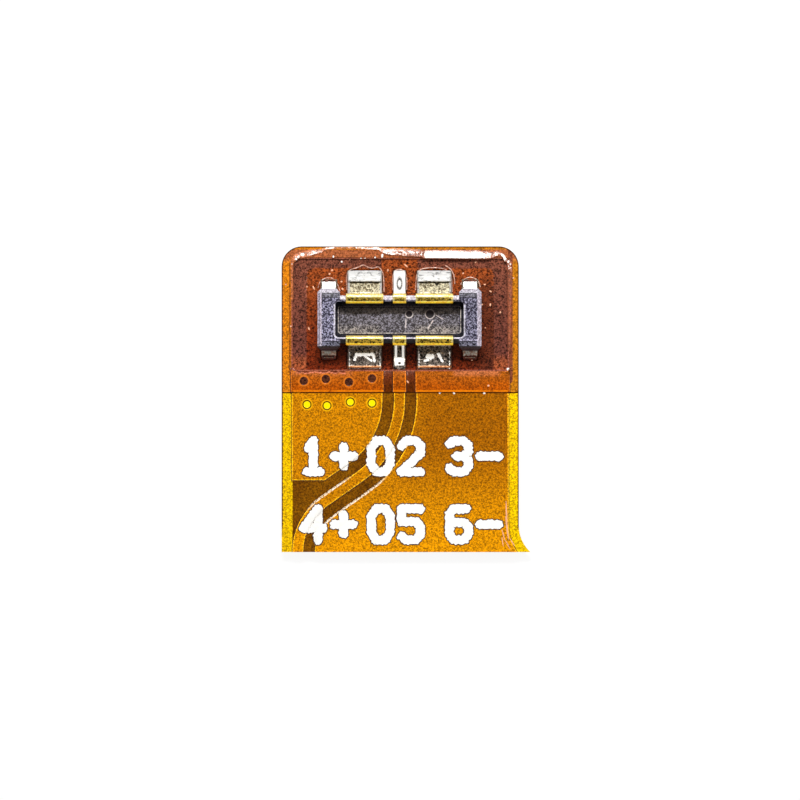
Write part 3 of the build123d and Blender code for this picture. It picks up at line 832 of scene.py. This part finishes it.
housing_low, housing_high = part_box("plug_housing")
wall_outer = 0.86 * mm
brow_width = 0.13 * mm
recess_half = 2.3 * mm
recess_side = 0.64 * mm
ledge_half = 2.18 * mm
ledge_side = 0.47 * mm
block_inner = housing_high.x - 0.8 * mm
housing = copied("housing", "plug_housing")
brow_line = Vector((wall_outer, housing_high.z))
pick_parts(housing, "EDGE", lambda edge: all(
    (Vector((abs(vertex.co.y), vertex.co.z)) - brow_line).length < 0.001 * mm for vertex in edge.verts))
bpy.ops.mesh.bevel(offset=brow_width, segments=4, affect="EDGES")
bpy.ops.object.mode_set(mode="OBJECT")
edges_softened(housing, 0.014 * mm, 2, 30)

moulding, tree, shader = finish("glass_filled_plastic", 0.38, IOR=1.35)
point, x, y, z = place(tree)
shade, relief = grained(point, 15000.0, 0.05)
left_right = abs(x)
sparse = between(relief, 0.48, 0.6)
plastic = mixed(sparse, colour(32, 28, 44),
                mixed(between(x, -1 * mm, mm), colour(180, 176, 204), colour(156, 152, 176)))


def shaded_zone(zone, dark, light):
    """Repaints a zone of the moulding, with its own two shades of the grain."""
    return mixed(zone, plastic, mixed(shade, colour(*dark), colour(*light)))


on_wall = between(left_right, block_inner, block_inner - 0.02 * mm)
off_wall = between(left_right, block_inner - 0.01 * mm, block_inner)
from_mouth = from_box(point, (-recess_half, -recess_side), (recess_half, recess_side), 0.12 * mm)
from_ledge = from_box(point, (-ledge_half, -ledge_side), (ledge_half, ledge_side), 0.06 * mm)
in_mouth = (between(z, housing_high.z - 0.07 * mm, housing_high.z - 0.075 * mm)
            * between(from_mouth, 0.01 * mm, 0.0))
cream = (in_mouth * between(y, -0.1 * mm, -0.35 * mm) * between(relief, 0.5, 0.56)
         * (between(x, -0.5 * mm, -0.9 * mm) + between(x, 0.3 * mm, 0.8 * mm)))
plastic = mixed(in_mouth, plastic, mixed(sparse, colour(16, 13, 24), colour(134, 130, 152)))
in_shade = in_mouth * between(y, 0.17 * mm, 0.22 * mm)
plastic = shaded_zone(in_shade, (10, 7, 10), (66, 56, 62))
plastic = mixed(cream * 0.38, plastic, colour(206, 192, 160))
rootward_side = between(y, 0.5 * mm, 0.4 * mm)
# Painted shade round the floor's edge, between the ledge and the mouth's wall.
shaded_ring = in_mouth * between(from_ledge, 0.03 * mm, 0.04 * mm)
plastic = shaded_zone(shaded_ring, (4, 3, 7), (44, 42, 54))
# Painted highlights: light lines along the ledge's edges on the root side.
for start, stop, strength in ((0.0, 0.03 * mm, 0.95), (-0.06 * mm, -0.045 * mm, 0.3)):
    line = in_mouth * inside(from_ledge, start, stop, 0.006 * mm) * rootward_side
    plastic = mixed(line * strength, plastic, mixed(shade, colour(120, 110, 110), colour(222, 212, 200)))
tip_ramp = inside(y, housing_high.y - 0.35 * mm, housing_high.y - 0.16 * mm, 0.01 * mm) * off_wall
plastic = shaded_zone(tip_ramp, (2, 1, 6), (118, 114, 128))
edge_lines = (inside(y, 0.77 * mm, 0.8 * mm, 0.01 * mm) + inside(y, 0.925 * mm, 0.96 * mm, 0.01 * mm)
              + inside(y, -0.81 * mm, -0.775 * mm, 0.01 * mm))
root_ramp = inside(y, -housing_high.y + 0.16 * mm, -housing_high.y + 0.35 * mm, 0.01 * mm) * off_wall
plastic = shaded_zone(root_ramp, (2, 2, 6), (138, 136, 156))
plastic = shaded_zone(edge_lines * off_wall, (2, 1, 4), (60, 56, 68))
# Painted highlight along the blocks' top edge on the root side.
block_edge_highlight = inside(y, -0.765 * mm, -0.715 * mm, 0.01 * mm) * off_wall
plastic = shaded_zone(block_edge_highlight, (84, 80, 98), (196, 190, 214))
# Painted highlight on the rounded outer edge of the tip wall, which faces the light.
brow = inside(y, wall_outer - brow_width - 0.02 * mm, wall_outer + 0.02 * mm, 0.01 * mm) * on_wall
plastic = shaded_zone(brow, (184, 174, 182), (246, 238, 244))
# Painted shade on the top of the root wall, which faces away from the light.
shaded_root_brow = inside(y, -wall_outer - 0.02 * mm, -recess_side - 0.06 * mm, 0.008 * mm) * on_wall
plastic = shaded_zone(shaded_root_brow, (3, 1, 1), (20, 14, 16))
# Painted highlight on the chamfer round the mouth, on its root side.
rim = (inside(from_mouth, -0.002 * mm, 0.055 * mm, 0.006 * mm) * between(y, 0.6 * mm, 0.5 * mm)
       * between(z, housing_high.z - 0.08 * mm, housing_high.z - 0.07 * mm))
plastic = shaded_zone(rim, (150, 144, 158), (228, 224, 236))
# Painted highlight on the blocks' outer side bevels.
side_bevel = between(left_right, housing_high.x - 0.17 * mm, housing_high.x - 0.14 * mm)
plastic = shaded_zone(side_bevel, (130, 122, 134), (226, 216, 232))
furrow = inside(x, -housing_high.x + 0.04 * mm, -housing_high.x + 0.09 * mm, 0.012 * mm)
plastic = shaded_zone(furrow, (60, 56, 72), (172, 166, 186))
# Painted highlight on the blocks' tip bevels, which face the light.
tip_bevel = between(y, housing_high.y - 0.175 * mm, housing_high.y - 0.15 * mm)
plastic = shaded_zone(tip_bevel, (120, 114, 124), (216, 212, 222))
# Painted shade on the blocks' root bevels, which face away from the light.
root_bevel = between(y, -housing_high.y + 0.175 * mm, -housing_high.y + 0.15 * mm)
plastic = shaded_zone(root_bevel, (4, 2, 5), (48, 42, 50))
stroke, entry, leave = group("stroke", {"Point": None, "Start": None, "End": None}, ["Distance"])
there = wire(stroke, "VectorMath", "Vector", {0: entry["Point"], 1: entry["Start"]}, operation="SUBTRACT")
whole = wire(stroke, "VectorMath", "Vector", {0: entry["End"], 1: entry["Start"]}, operation="SUBTRACT")
shared = wire(stroke, "VectorMath", "Value", {0: there, 1: whole}, operation="DOT_PRODUCT")
squared = wire(stroke, "VectorMath", "Value", {0: whole, 1: whole}, operation="DOT_PRODUCT")
share = wire(stroke, "Clamp", "Result", {"Value": shared / squared})
along = wire(stroke, "VectorMath", "Vector", {0: whole, "Scale": share}, operation="SCALE")
away = wire(stroke, "VectorMath", "Value", {0: there, 1: along}, operation="DISTANCE")
feed(leave, "Distance", away)

flat_point = wire(tree, "CombineXYZ", 0, {"X": x, "Y": y})
scars = 0.0
for centre_x, inner, outer in ((0.345, 0.115, 0.15), (1.094, 0.148, 0.18)):
    centre = (centre_x * mm, 0.2 * mm, 0.0)
    away = grouped(stroke, Point=flat_point, Start=centre, End=(centre[0] + 0.001 * mm, centre[1], 0.0))[0]
    scars = larger(inside(away, inner * mm, outer * mm, 0.008 * mm), scars)
    plastic = mixed(in_mouth * between(away, inner * mm, inner * mm - 0.01 * mm), plastic,
                    colour(30, 20, 24))
for start, stop, half in (((0.23, 0.01), (0.22, -0.3), 0.02), ((1.2, -0.04), (1.03, -0.3), 0.022),
                          ((1.3, 0.17), (1.57, 0.01), 0.012)):
    away = grouped(stroke, Point=flat_point, Start=(start[0] * mm, start[1] * mm, 0.0),
                   End=(stop[0] * mm, stop[1] * mm, 0.0))[0]
    scars = larger(between(away, half * mm + 0.006 * mm, half * mm - 0.006 * mm), scars)
# The ejector marks and streaks are painted darker towards the tip, as painted shade under the tip wall.
scars_with_shade = mixed(between(y, 0.3 * mm, 0.1 * mm), colour(120, 108, 106), colour(216, 204, 202))
plastic = mixed(scars * in_mouth * between(relief, 0.34, 0.44), plastic, scars_with_shade)
feed(shader, "Base Color", plastic)
bumped(shader, relief, 0.012 * mm)
finished(housing, moulding, "housing_plastic", "plug_housing")

# Contacts
# Six contacts of copper alloy sheet, folded over the housing's walls, each with a tail that lies on
# its pad. The saddles are gold plated, and the tails are wetted by the solder.

pitch = 1.25 * mm
tin_line = 1.0 * mm

gold, tree, shader = finish("plated_contact", 0.28, Metallic=0.75)
point, x, y, z = place(tree)
saddle_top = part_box("contact_positive_upper")[1].z
shade, relief = grained(point, 14000.0, 0.08)
plating = mixed(shade, colour(246, 208, 96), colour(255, 242, 166))
# Painted reflection: the bends that face the root are painted a brighter, deeper gold.
rootward = between(y, 0.66 * mm, 0.62 * mm)
rootward = rootward - inside(y, -0.84 * mm, 0.0, 0.02 * mm)
plating = mixed(rootward, plating, mixed(shade, colour(255, 186, 6), colour(255, 236, 60)))
# Painted reflection: a dark mottled band across each saddle's flat top, standing in for the dark overhead.
dark_reflection = mixed(between(relief, 0.43, 0.55), colour(16, 8, 2), colour(246, 202, 74))
from_end = abs(abs(x) - pitch) - 0.67 * mm
from_end = result("MINIMUM", from_end, abs(x) - 0.24 * mm)
streak = inside(y, 0.66 * mm, 0.765 * mm, 0.01 * mm) + inside(y, -0.86 * mm, -0.71 * mm, 0.01 * mm)
streak = (streak * between(z, saddle_top - 0.06 * mm, saddle_top - 0.05 * mm)
          * between(from_end, -0.06 * mm, -0.075 * mm))
plating = mixed(streak, plating, dark_reflection)
tin = mixed(shade, colour(96, 80, 50), colour(255, 246, 212))
slow, _ = grained(point, 4000.0, 0.2)
notch = 0.1 * mm - abs(x - 1.346 * mm)
wavering = y - slow * (0.04 * mm)
wavering = wavering + larger(notch, 0.0)
brink = inside(wavering, 1.29 * mm, 1.42 * mm, 0.012 * mm) * between(relief, 0.42, 0.47)
tin = mixed(brink, tin, colour(34, 30, 20))
tinned_share = between(z, tin_line + 0.05 * mm, tin_line - 0.05 * mm)
feed(shader, "Base Color", mixed(tinned_share, plating, tin))
# The tin and the painted root-facing bends are made less metallic.
tin_and_bright_bends = larger(tinned_share, rootward * 0.7)
feed(shader, "Metallic", ranged(tin_and_bright_bends, 0.75, 0.3))
bumped(shader, relief, 0.006 * mm)
for row in ("positive_upper", "positive_lower", "negative_upper", "negative_lower", "thermistor", "ident"):
    contact = copied("folded_contact_" + row, "contact_" + row)
    edges_softened(contact, 0.018 * mm, 2, 60)
    finished(contact, gold, "contact_metal", "contact_" + row)

# Solder
# Reflowed tin solder over each tail's end and each fitting's foot. On the tip side it is a smooth
# bright slope, and on the root side it is lumpy and wets the whole tail. On the root side its
# highlights are painted, and glow faintly.

pad_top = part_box("upper_pads")[1].z
tail_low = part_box("contact_positive_upper")[0].z
tail_top = tail_low + 0.07 * mm
foot_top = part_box("fitting_left")[0].z + 0.1 * mm
tail_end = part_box("contact_positive_upper")[1].y
pad_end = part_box("upper_pads")[1].y
pad_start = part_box("upper_pads")[0].y
solder_columns = 60
solder_rows = 72
solder_edge = 0.004 * mm
power_half = 0.62 * mm
signal_half = 0.22 * mm
foot_half = 0.26 * mm
# Where the humps with painted highlights on the lower power joints run, from point to point: across
# from the joint's middle, out from the plug's centre line, and half as wide
humps = {-1: [((-0.30, 1.25), (0.30, 1.25), 0.07), ((-0.30, 1.25), (-0.37, 1.43), 0.06),
              ((-0.03, 1.27), (0.24, 1.48), 0.05), ((0.30, 1.25), (0.35, 1.48), 0.06)],
         1: [((-0.23, 1.34), (-0.07, 1.33), 0.11), ((0.15, 1.23), (0.28, 1.48), 0.06),
             ((-0.35, 1.48), (-0.22, 1.45), 0.05)]}

solder_look, tree, shader = finish("solder", 0.3, Metallic=0.6)
point, x, y, z = place(tree)
shade, relief = grained(point, 13000.0, 0.07)
stretched = wire(tree, "Mapping", "Vector", {"Vector": point, "Scale": (0.3, 1.0, 1.0)})
streaks, _ = grained(stretched, 11000.0, 0.12)
bright = mixed(between(streaks, 0.0, 0.35), colour(116, 115, 112), colour(192, 191, 188))
bright = mixed(between(abs(x), 0.4 * mm, 0.3 * mm), bright, colour(214, 213, 209))
dull = mixed(shade, colour(10, 6, 6), colour(176, 160, 146))
# Painted highlights: the humps and rails of the root side joints are painted near white.
shining = wire(tree, "Attribute", "Fac", {}, attribute_name="shining")
shining = between(shining + relief * 1.4, 1.12, 1.26)
dull = mixed(shining, dull, colour(255, 252, 244))
toe_line = inside(y, -1.735 * mm, -1.655 * mm, 0.01 * mm) * between(abs(x), 0.4 * mm, 0.5 * mm)
dull = mixed(toe_line, dull, mixed(shade, colour(176, 100, 48), colour(236, 178, 126)))
# Painted light: the feet on the root side lie in the plug's shadow and are painted pale.
on_feet = between(abs(x), 2.1 * mm, 2.2 * mm)
dull = mixed(on_feet, dull, mixed(shade, colour(222, 168, 136), colour(255, 246, 230)))
# Painted shade at the toes of the tip side feet.
foot_toe = on_feet * between(y, 1.36 * mm, 1.39 * mm)
tip_side = between(y, 0.0, 0.1 * mm)
bright = mixed(foot_toe, bright, mixed(shade, colour(40, 18, 12), colour(150, 92, 76)))
# Painted shade along the oval groove of the upper signal tail.
oval = wire(tree, "CombineXYZ", 0, {"X": x / (0.085 * mm), "Y": (y - 1.29 * mm) / (0.19 * mm)})
oval = wire(tree, "VectorMath", "Value", {0: oval}, operation="LENGTH")
oval = inside(oval, 0.72, 1.15, 0.08) * between(relief, 0.4, 0.46)
bright = mixed(oval, bright, colour(62, 56, 50))
# Painted shade at the toes of the root side feet.
low_toe = on_feet * between(y + streaks * (0.06 * mm), -1.24 * mm, -1.27 * mm)
dull = mixed(low_toe, dull, mixed(shade, colour(26, 6, 2), colour(110, 44, 22)))
feed(shader, "Base Color", mixed(tip_side, dull, bright))
plain = shining * (1.0 - on_feet * 0.6)
plain = larger(plain, larger(toe_line + tip_side, on_feet) * 0.3)
feed(shader, "Metallic", ranged(plain, 0.6, 0.0))
# Painted glow: those highlights glow faintly, so that they stay bright in the plug's shadow.
shader.inputs["Emission Strength"].default_value = 0.4
gleam = shining * (1.0 - larger(tip_side, on_feet))
feed(shader, "Emission Color", mixed(gleam, colour(0, 0, 0), colour(255, 252, 246)))
bumped(shader, relief, 0.008 * mm)


def near_hump(spot, out):
    """How near a point of a lower power joint is to one of its bright humps, from 0 to 1."""
    side = 1 if spot.x > 0 else -1
    here = Vector((spot.x - side * pitch, out)) / mm
    nearest = 0.0
    for start, stop, wide in humps[side]:
        start, stop = Vector(start), Vector(stop)
        along = max(0, min(1, (here - start).dot(stop - start) / (stop - start).length_squared))
        away = (here - start - (stop - start) * along).length
        nearest = max(nearest, math.exp(-(away / wide) ** 2))
    return nearest


def heap(name, middle, half, turn, start, end, skin, *stands_for):
    """A body of solder beside the plug, on its tip side or turned to its root side. It runs from a
    start to an end out from the plug, and a function says how high its skin is and how strongly a
    highlight is painted on it."""
    piece, mesh = slab(name, solder_columns, solder_rows)
    shining = mesh.verts.layers.float.new("shining")
    for vertex in mesh.verts:
        share = (vertex.co.y + 1) / 2
        out = start + (end - start) * share
        wide = half - 0.03 * mm * max(0, share - 0.9) / 0.1
        spot = Vector((middle + wide * vertex.co.x, turn * out, 0))
        close_to_side = min(1, (1 - abs(vertex.co.x)) / 0.08)
        rounded = math.sqrt(max(0, 1 - (1 - close_to_side) ** 2))
        height, vertex[shining] = skin(spot, out)
        level = pad_top + solder_edge + (height - pad_top - solder_edge) * rounded
        vertex.co = (spot.x, spot.y, level if vertex.co.z > -0.5 else pad_top)
    set_firm(piece, 60)
    finished(piece, solder_look, "solder", *stands_for)


def upper_skin(spot, out):
    """The bright slope on an upper power tail: a ragged crest, a fall to the pad's end, and side fillets."""
    crest = tail_end - 0.3 * mm + 0.02 * mm * ruffled(spot, 0.08 * mm, 7.0)
    from_middle = abs(abs(spot.x) - pitch)
    if out < crest:
        fillet = from_middle > 0.53 * mm + 0.02 * mm * ruffled(spot, 0.07 * mm, 9.0)
        return tail_top + 0.012 * mm if fillet else tail_low - 0.001 * mm, 1
    fall = (out - crest) / mm
    brow = max(0, 1 - fall / 0.02) * 0.03
    skin = tail_top + (0.105 - 0.22 * fall - 0.41 * fall * fall - brow) * mm
    return skin + 0.004 * mm * ruffled(spot, 0.12 * mm, 8.0), 1


def lower_skin(spot, out):
    """The lumpy solder on a lower power tail, with humps and side rails painted bright as highlights."""
    lumps = 0.012 * ruffled(spot, 0.1 * mm, 11.0) + 0.008 * ruffled(spot, 0.045 * mm, 12.0)
    hump = near_hump(spot, out)
    toe = max(0, out - tail_end) / mm
    frame = 0.012 * (abs(abs(abs(spot.x) - pitch) - 0.55 * mm) < 0.02 * mm)
    ridge = 0.05 * max(0, 1 - abs(out - 1.69 * mm) / (0.05 * mm))
    shine = hump * 0.9 + 0.5 * (frame > 0) - 0.4 * (out < 1.15 * mm)
    return tail_top + (0.018 + lumps + 0.07 * hump + frame + ridge - 0.6 * toe) * mm, shine


def signal_skin(spot, out):
    """The even slope on the upper signal tail, with an oval groove pressed in its middle."""
    fall = (out - pad_start) / mm
    oval = math.hypot(spot.x / (0.085 * mm), (out - 1.29 * mm) / (0.19 * mm))
    groove = 0.035 * math.exp(-((oval - 1) / 0.28) ** 2)
    toe = max(0, out - tail_end) / mm
    return tail_top + (0.19 - 0.25 * fall - groove - 0.35 * toe) * mm, 1


def slotted_skin(spot, out):
    """The lower signal tail's solder: a slot between two rails, a rise that faces the tip, and a toe."""
    in_slot = abs(spot.x) < 0.085 * mm and out < 1.34 * mm
    dimple = math.hypot(spot.x, out - 1.56 * mm) < 0.05 * mm
    rise = max(0, min(out / mm, 1.52) - 1.33) * 0.35
    dip = max(0, out / mm - 1.52) * 0.6
    skin = max(0.036 - 0.03 * in_slot + rise - dip - 0.01 * dimple, 0.004 - max(0, out - tail_end) / mm * 0.6)
    outside = abs(spot.x) > 0.175 * mm
    return tail_top + skin * mm, -0.4 if in_slot or dimple or outside or out > 1.64 * mm else 1


def foot_skin(spot, out):
    """The slope of solder on a fitting's foot."""
    fall = (out - 1.115 * mm) / mm
    toe = max(0, out - 1.365 * mm) / mm
    return foot_top + (0.085 - 0.3 * fall - 1.0 * toe) * mm, 1


def low_foot_skin(spot, out):
    """The duller, lumpy solder on a foot of the root side."""
    toe = max(0, out - 1.34 * mm) / mm
    return foot_top + (0.012 + 0.012 * ruffled(spot, 0.06 * mm, 17.0) - 1.1 * toe) * mm, 0.5


for side, middle in (("positive", -pitch), ("negative", pitch)):
    for row, turn, skin in (("upper", 1, upper_skin), ("lower", -1, lower_skin)):
        heap(f"solder_on_{side}_{row}", middle, power_half, turn, pad_start, pad_end, skin,
             f"solder_{side}_{row}")
for row, turn, skin in (("thermistor", 1, signal_skin), ("ident", -1, slotted_skin)):
    heap("solder_on_" + row, 0.0, signal_half, turn, pad_start, pad_end, skin, "solder_" + row)
foot_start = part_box("plug_housing")[1].y
foot_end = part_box("solder_fitting_left")[1].y
for side in ("left", "right"):
    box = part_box("fitting_" + side)
    middle = (box[0].x + box[1].x) / 2
    heap("solder_on_foot_" + side, middle, foot_half, 1, foot_start, foot_end, foot_skin,
         "solder_fitting_" + side)
    heap("solder_below_foot_" + side, middle, foot_half, -1, foot_start, foot_end, low_foot_skin)

# Flux residue
# Thin rims of dried flux that crept out from the upper joints while they were soldered, and stayed
# round them as glossy pink outlines on the bare base film.

flux_look, tree, shader = finish("dried_flux", 0.15, IOR=1.55, Coat_Weight=1.0, Coat_Roughness=0.1)
point, x, y, z = place(tree)
shade, relief = grained(point, 9000.0, 0.15)
feed(shader, "Base Color", mixed(shade, colour(150, 84, 62), colour(255, 208, 184)))
base_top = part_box("base_film")[1].z
# Across from each joint's middle and out from the plug's centre line
flux_paths = {
    "positive": (-1.25, [(-0.64, 1.07), (-0.67, 1.43), (-0.63, 1.74), (-0.46, 1.83), (-0.25, 1.88),
                         (-0.05, 2.0), (0.12, 1.88), (0.33, 1.85), (0.48, 1.93), (0.6, 1.79),
                         (0.67, 1.65), (0.69, 1.32), (0.69, 1.0)]),
    "negative_near": (1.25, [(-0.67, 1.07), (-0.66, 1.36), (-0.62, 1.69), (-0.48, 1.83), (-0.22, 1.87),
                             (0.07, 1.88), (0.32, 1.85), (0.48, 1.78), (0.55, 1.7), (0.64, 1.5),
                             (0.65, 1.0)]),
    "negative_far": (1.25, [(0.4, 1.96), (0.57, 1.86), (0.66, 1.72), (0.73, 1.54), (0.74, 1.29)]),
    "thermistor": (0.0, [(-0.24, 1.07), (-0.26, 1.4), (-0.22, 1.72), (-0.12, 1.8), (0.02, 1.83),
                         (0.16, 1.77), (0.25, 1.6), (0.27, 1.33), (0.26, 1.07)]),
    "foot_left": (-2.54, [(-0.39, 1.15), (-0.36, 1.33), (-0.23, 1.47), (-0.01, 1.53), (0.17, 1.48),
                          (0.3, 1.3), (0.4, 1.04)]),
    "foot_right": (2.54, [(-0.33, 1.27), (-0.28, 1.41), (-0.13, 1.51), (0.03, 1.54), (0.19, 1.49),
                          (0.33, 1.36), (0.37, 1.18)])}
for name, (middle, knots) in flux_paths.items():
    path = bpy.data.curves.new("flux_" + name, "CURVE")
    path.dimensions = "3D"
    path.bevel_depth = 0.024 * mm
    path.bevel_resolution = 2
    line = path.splines.new("NURBS")
    line.points.add(len(knots) - 1)
    for knot, (across, out) in zip(line.points, knots):
        knot.co = ((middle + across) * mm, out * mm, base_top + 0.001 * mm, 1)
        knot.radius = 0.8 + 0.4 * ruffled(knot.co, 0.2 * mm, 24.0)
    line.order_u = 3
    line.use_endpoint_u = True
    tube = bpy.data.objects.new("flux_" + name, path)
    bpy.context.scene.collection.objects.link(tube)
    pick(tube)
    bpy.ops.object.convert(target="MESH")
    bpy.ops.object.shade_smooth()
    finished(tube, flux_look, "solder")

# Glint drops and dust
# White drops beside the bead and along the reinforcing film's cut end, which are painted highlights
# where the uneven adhesive glints; pale flecks of dust, loose on the films and in the window; and
# long pale streaks along the flared edge, painted highlights where the film bends.

# Where each speck lies, how long and wide it is, and how far it is turned, in mm and degrees
glint_drops = [(-3.49, 2.34, 0.16, 0.14, 0), (-3.64, 2.26, 0.1, 0.1, 0), (-3.72, 2.18, 0.09, 0.08, 0),
               (-2.38, 2.27, 0.09, 0.06, 90), (-1.39, 2.225, 0.07, 0.07, 0), (-1.24, 2.225, 0.06, 0.06, 0),
               (-0.88, 2.24, 0.07, 0.06, 0), (-0.62, 2.3, 0.16, 0.08, 80), (-2.08, 2.09, 0.08, 0.07, 0),
               (3.91, -1.79, 0.14, 0.11, 120), (1.45, -2.64, 0.07, 0.06, 0), (1.96, -2.64, 0.1, 0.07, 140),
               (3.05, -2.64, 0.09, 0.08, 0)]
# The last six flecks are long pale streaks along the flared edge: painted highlights where the film bends.
dust_and_glint_flecks = [(-1.8, 2.17, 0.06, 0.05, 0), (-2.43, 1.78, 0.09, 0.07, 20), (-2.52, 1.65, 0.09, 0.07, 60),
               (-2.09, 1.37, 0.08, 0.07, 0), (-2.05, 1.11, 0.1, 0.07, 120), (-3.09, 1.15, 0.16, 0.06, 120),
               (-3.33, 1.19, 0.06, 0.05, 0), (-0.42, 1.78, 0.1, 0.06, 90), (0.23, 1.95, 0.18, 0.06, 140),
               (2.29, 1.67, 0.08, 0.06, 30), (2.74, 2.08, 0.09, 0.06, 50), (3.07, 1.27, 0.08, 0.06, 0),
               (3.28, 1.02, 0.1, 0.06, 150), (3.27, 0.54, 0.11, 0.07, 90), (2.97, 0.55, 0.08, 0.07, 0),
               (3.63, 0.27, 0.08, 0.07, 0), (3.09, -0.29, 0.06, 0.05, 0), (2.61, -1.44, 0.08, 0.06, 60),
               (3.2, -2.37, 0.09, 0.07, 0), (0.29, -2.23, 0.13, 0.06, 130), (-3.26, -0.32, 0.13, 0.06, 120),
               (-3.91, -0.24, 0.07, 0.06, 0), (-4.09, 1.27, 0.06, 0.05, 0), (4.1, 1.5, 0.07, 0.05, 0),
               (3.85, -7.0, 1.0, 0.05, 92), (3.87, -7.5, 0.9, 0.06, 97), (3.74, -7.75, 0.45, 0.04, 105),
               (4.02, -7.95, 0.5, 0.04, 122), (3.71, -8.0, 0.35, 0.035, 100), (3.9, -8.1, 0.4, 0.03, 118)]
for name, tint, specks in (("glint_drops", colour(255, 252, 246), glint_drops),
                           ("dust_and_glint_flecks", colour(244, 180, 140), dust_and_glint_flecks)):
    look, tree, shader = finish(name, 0.3)
    shader.inputs["Base Color"].default_value = tint
    parts = []
    for across, up, long, wide, turn in specks:
        view = bpy.context.evaluated_depsgraph_get()
        hit, spot, *_ = bpy.context.scene.ray_cast(view, (across * mm, up * mm, 10 * mm), (0, 0, -1))
        bpy.ops.object.select_all(action="DESELECT")
        bpy.ops.mesh.primitive_uv_sphere_add(segments=10, ring_count=6, radius=1, location=spot,
                                             rotation=(0, 0, math.radians(turn)))
        speck = bpy.context.object
        speck.scale = (long * mm / 2, wide * mm / 2, min(wide, 0.04) * mm / 3)
        bpy.ops.object.transform_apply(location=True, rotation=True, scale=True)
        parts.append(speck)
    for speck in parts:
        speck.select_set(True)
    bpy.context.view_layer.objects.active = parts[0]
    bpy.ops.object.join()
    bpy.ops.object.shade_smooth()
    parts[0].name = name
    finished(parts[0], look, "reinforcing_film")

# Studio
# A pale floor under the part, a large soft light from the tip side, and a pale room round it. The
# camera looks straight down, as the photograph does.

view_middle = Vector((0.018, -2.887, 0.0)) * mm
view_width = 28.8 * mm
lens = 200.0
bpy.ops.object.select_all(action="DESELECT")
bpy.ops.mesh.primitive_plane_add(size=0.6, location=(0, 0, -0.002 * mm))
floor = bpy.context.object
floor.name = "floor"
white, tree, shader = finish("white_floor", 0.9)
shader.inputs["Base Color"].default_value = (0.8, 0.8, 0.8, 1)
camera_ray, glossy_ray, through_ray = (wire(tree, "LightPath", f"Is {ray} Ray", {})
                                       for ray in ("Camera", "Glossy", "Transmission"))
seen = larger(larger(camera_ray, glossy_ray), through_ray)
pale = wire(tree, "BsdfDiffuse", "BSDF", {"Color": (0.12, 0.12, 0.12, 1)})
glow = wire(tree, "Emission", "Emission", {"Color": (1, 1, 1, 1), "Strength": 0.9})
sheet = wire(tree, "AddShader", "Shader", {0: pale, 1: glow})
surface = wire(tree, "MixShader", "Shader", {0: seen, 1: Field(shader.outputs["BSDF"]), 2: sheet})
feed(tree.nodes["Material Output"], "Surface", surface)
floor.data.materials.append(white)


def softbox(name, width, height, power, away):
    """A rectangular light that looks at the part from a direction."""
    light = bpy.data.lights.new(name, "AREA")
    light.shape = "RECTANGLE"
    light.size = width
    light.size_y = height
    light.energy = power
    place_of_light = Vector(away).normalized() * light_distance
    lamp = bpy.data.objects.new(name, light)
    lamp.location = place_of_light
    lamp.rotation_euler = (-place_of_light).to_track_quat("-Z", "Y").to_euler()
    bpy.context.scene.collection.objects.link(lamp)


light_distance = 80 * mm
softbox("tip_softbox", 45 * mm, 14 * mm, 0.065, (-0.05, 0.60, 0.80))
softbox("side_softbox", 10 * mm, 17 * mm, 0.009, (0.47, 0.33, 0.82))

world = bpy.data.worlds.new("room")
world.use_nodes = True
bpy.context.scene.world = world
tree = world.node_tree
direction = wire(tree, "TexCoord", "Generated", {})
low_down = between(wire(tree, "SeparateXYZ", "Z", {"Vector": direction}), 0.8, 0.3)
tip_side = between(wire(tree, "SeparateXYZ", "Y", {"Vector": direction}), -0.8, 0.2)
room = mixed(tip_side, (1.4, 1.4, 1.4, 1), (0.9, 0.9, 0.92, 1))
room = mixed(low_down, (0.05, 0.05, 0.05, 1), room)
feed(tree.nodes["Background"], "Color",
     mixed(wire(tree, "LightPath", "Is Camera Ray", {}), room, (1, 1, 1, 1)))

lens_data = bpy.data.cameras.new("camera")
lens_data.lens = lens
lens_data.clip_start = 1 * mm
lens_data.clip_end = 2.0
camera = bpy.data.objects.new("camera", lens_data)
camera.location = view_middle + Vector((0, 0, view_width * lens / lens_data.sensor_width + 0.4 * mm))
bpy.context.scene.collection.objects.link(camera)
bpy.context.scene.camera = camera
bpy.context.scene.view_settings.view_transform = "Standard"
